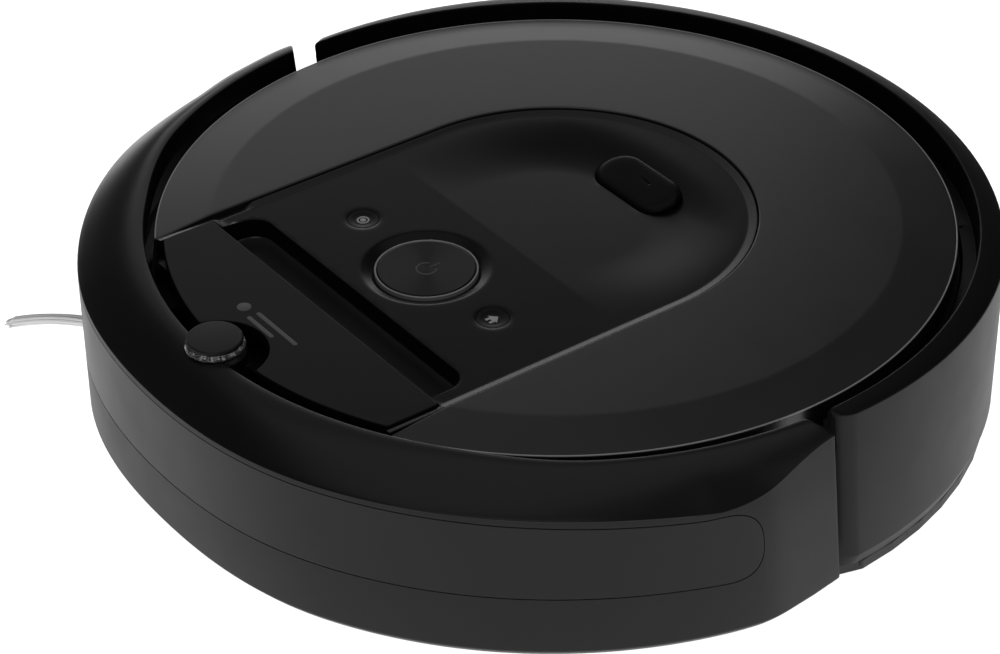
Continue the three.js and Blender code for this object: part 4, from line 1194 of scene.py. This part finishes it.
def make_side_brush():
    """A hub with three bunches of long bristles that swing back towards their tips."""
    centre = middle("side_brush_screw")
    hub = soften([(0, 3.9), (4.6, 3.9, 0.2), (5.4, 3.5, 0.4), (9, 3.6, 0.8), (11.4, 6, 1.2),
                  (11.4, 13.3, 0.4), (3.6, 13.3), (3.6, 8.6), (0, 8.6)], 5)
    parts = [turned(hub, centre.x, centre.y, 96)]
    stations = spread(8, BRUSH["reach"], 22)
    for turn in (0, 120, 240):
        for k in range(BRUSH["strands"]):
            ring = 2 * pi * k / 8 + (0.4 if k >= 8 else 0)
            spread_out = 1.0 if k < 8 else 0.45
            end = BRUSH["reach"] - BRUSH["ragged"] * ((k * 7) % 5) / 5
            loops = []
            for r in stations:
                share = r / BRUSH["reach"]
                angle = radians(BRUSH["start"] + turn + BRUSH["bend"] * share ** 2)
                sizes = [BRUSH[size] for size in ("wide", "tall", "thick")]
                wide, tall, thick = (root + growth * share for root, growth in sizes)
                wide *= spread_out * cos(ring)
                tall *= spread_out * sin(ring)
                thick *= 1 if r < end else 0.35
                along = min(r, end)
                x = centre.x + along * cos(angle) - wide * sin(angle)
                y = centre.y + along * sin(angle) + wide * cos(angle)
                across = (-sin(angle), cos(angle))
                loops.append([(x + across[0] * a, y + across[1] * a, BRUSH["z"] + tall + b)
                              for a, b in circle(0, 0, thick, 6)])
            parts.append(loft(loops))
    piece("side_brush_bristles", join(*parts[1:]), "bristle", "side_brush", ["side_brush"],
          sharp=60)
    piece("side_brush_hub", parts[0], "hub", "side_brush", sharp=40)
    head = screw_head(centre.x, centre.y, 3.75, 2.7)
    piece("side_brush_screw_head", head, "steel", "side_brush", ["side_brush_screw"])


def dress_inner_nodes():
    """The CAD nodes that show as they are, with the width and the steps of their rounded edges."""
    finishes = [("chassis_base", "under", 0.4, 2), ("top_deck", "inner", 0.3, 2),
                ("knob_bracket", "inner", 0.4, 2), ("battery", "battery", 1.2, 3),
                ("battery_cover", "under", 0.5, 2), ("main_board", "board", 0.2, 2),
                ("brush_motor", "hub", 0.8, 3), ("fan_housing", "inner", 0.8, 3),
                ("impeller", "hub", 0.3, 2), ("caster_fork", "hub", 0.7, 3),
                ("head_housing", "frame", 0.6, 2), ("brush_frame", "yellow", 0.5, 2),
                ("bin_shell", "bin", 0.7, 3), ("bin_door", "bin", 0.5, 2),
                ("port_flap", "rubber", 0.4, 2), ("bin_filter", "filter", 0.6, 2),
                ("bin_release", "gloss", 0.8, 3), ("floor_sensor", "lens", 0.5, 2),
                ("head_motor", "steel", 0.8, 3)]
    finishes += [(f"cliff_sensor_{number}", "lens", 0.6, 2) for number in range(1, 7)]
    finishes += [(f"charge_contact_{number}", "contact", 0.45, 3) for number in (1, 2)]
    for side in ("left", "right"):
        finishes += [(f"{side}_wheel_arm", "frame", 0.6, 2), (f"{side}_wheel_motor", "steel", 0.8, 3),
                     (f"handle_pin_{side}", "steel", 0.2, 2)]
    for finish in finishes:
        dress(*finish)


make_camera()
floor = make_floor()
make_light(floor)
make_bumper()
make_knob()
make_rear_housing()
make_lid()
make_tongue()
make_trough()
make_handle()
make_buttons()
make_camera_pod()
make_underside()
make_wheels()
make_rollers()
make_side_brush()
dress_inner_nodes()
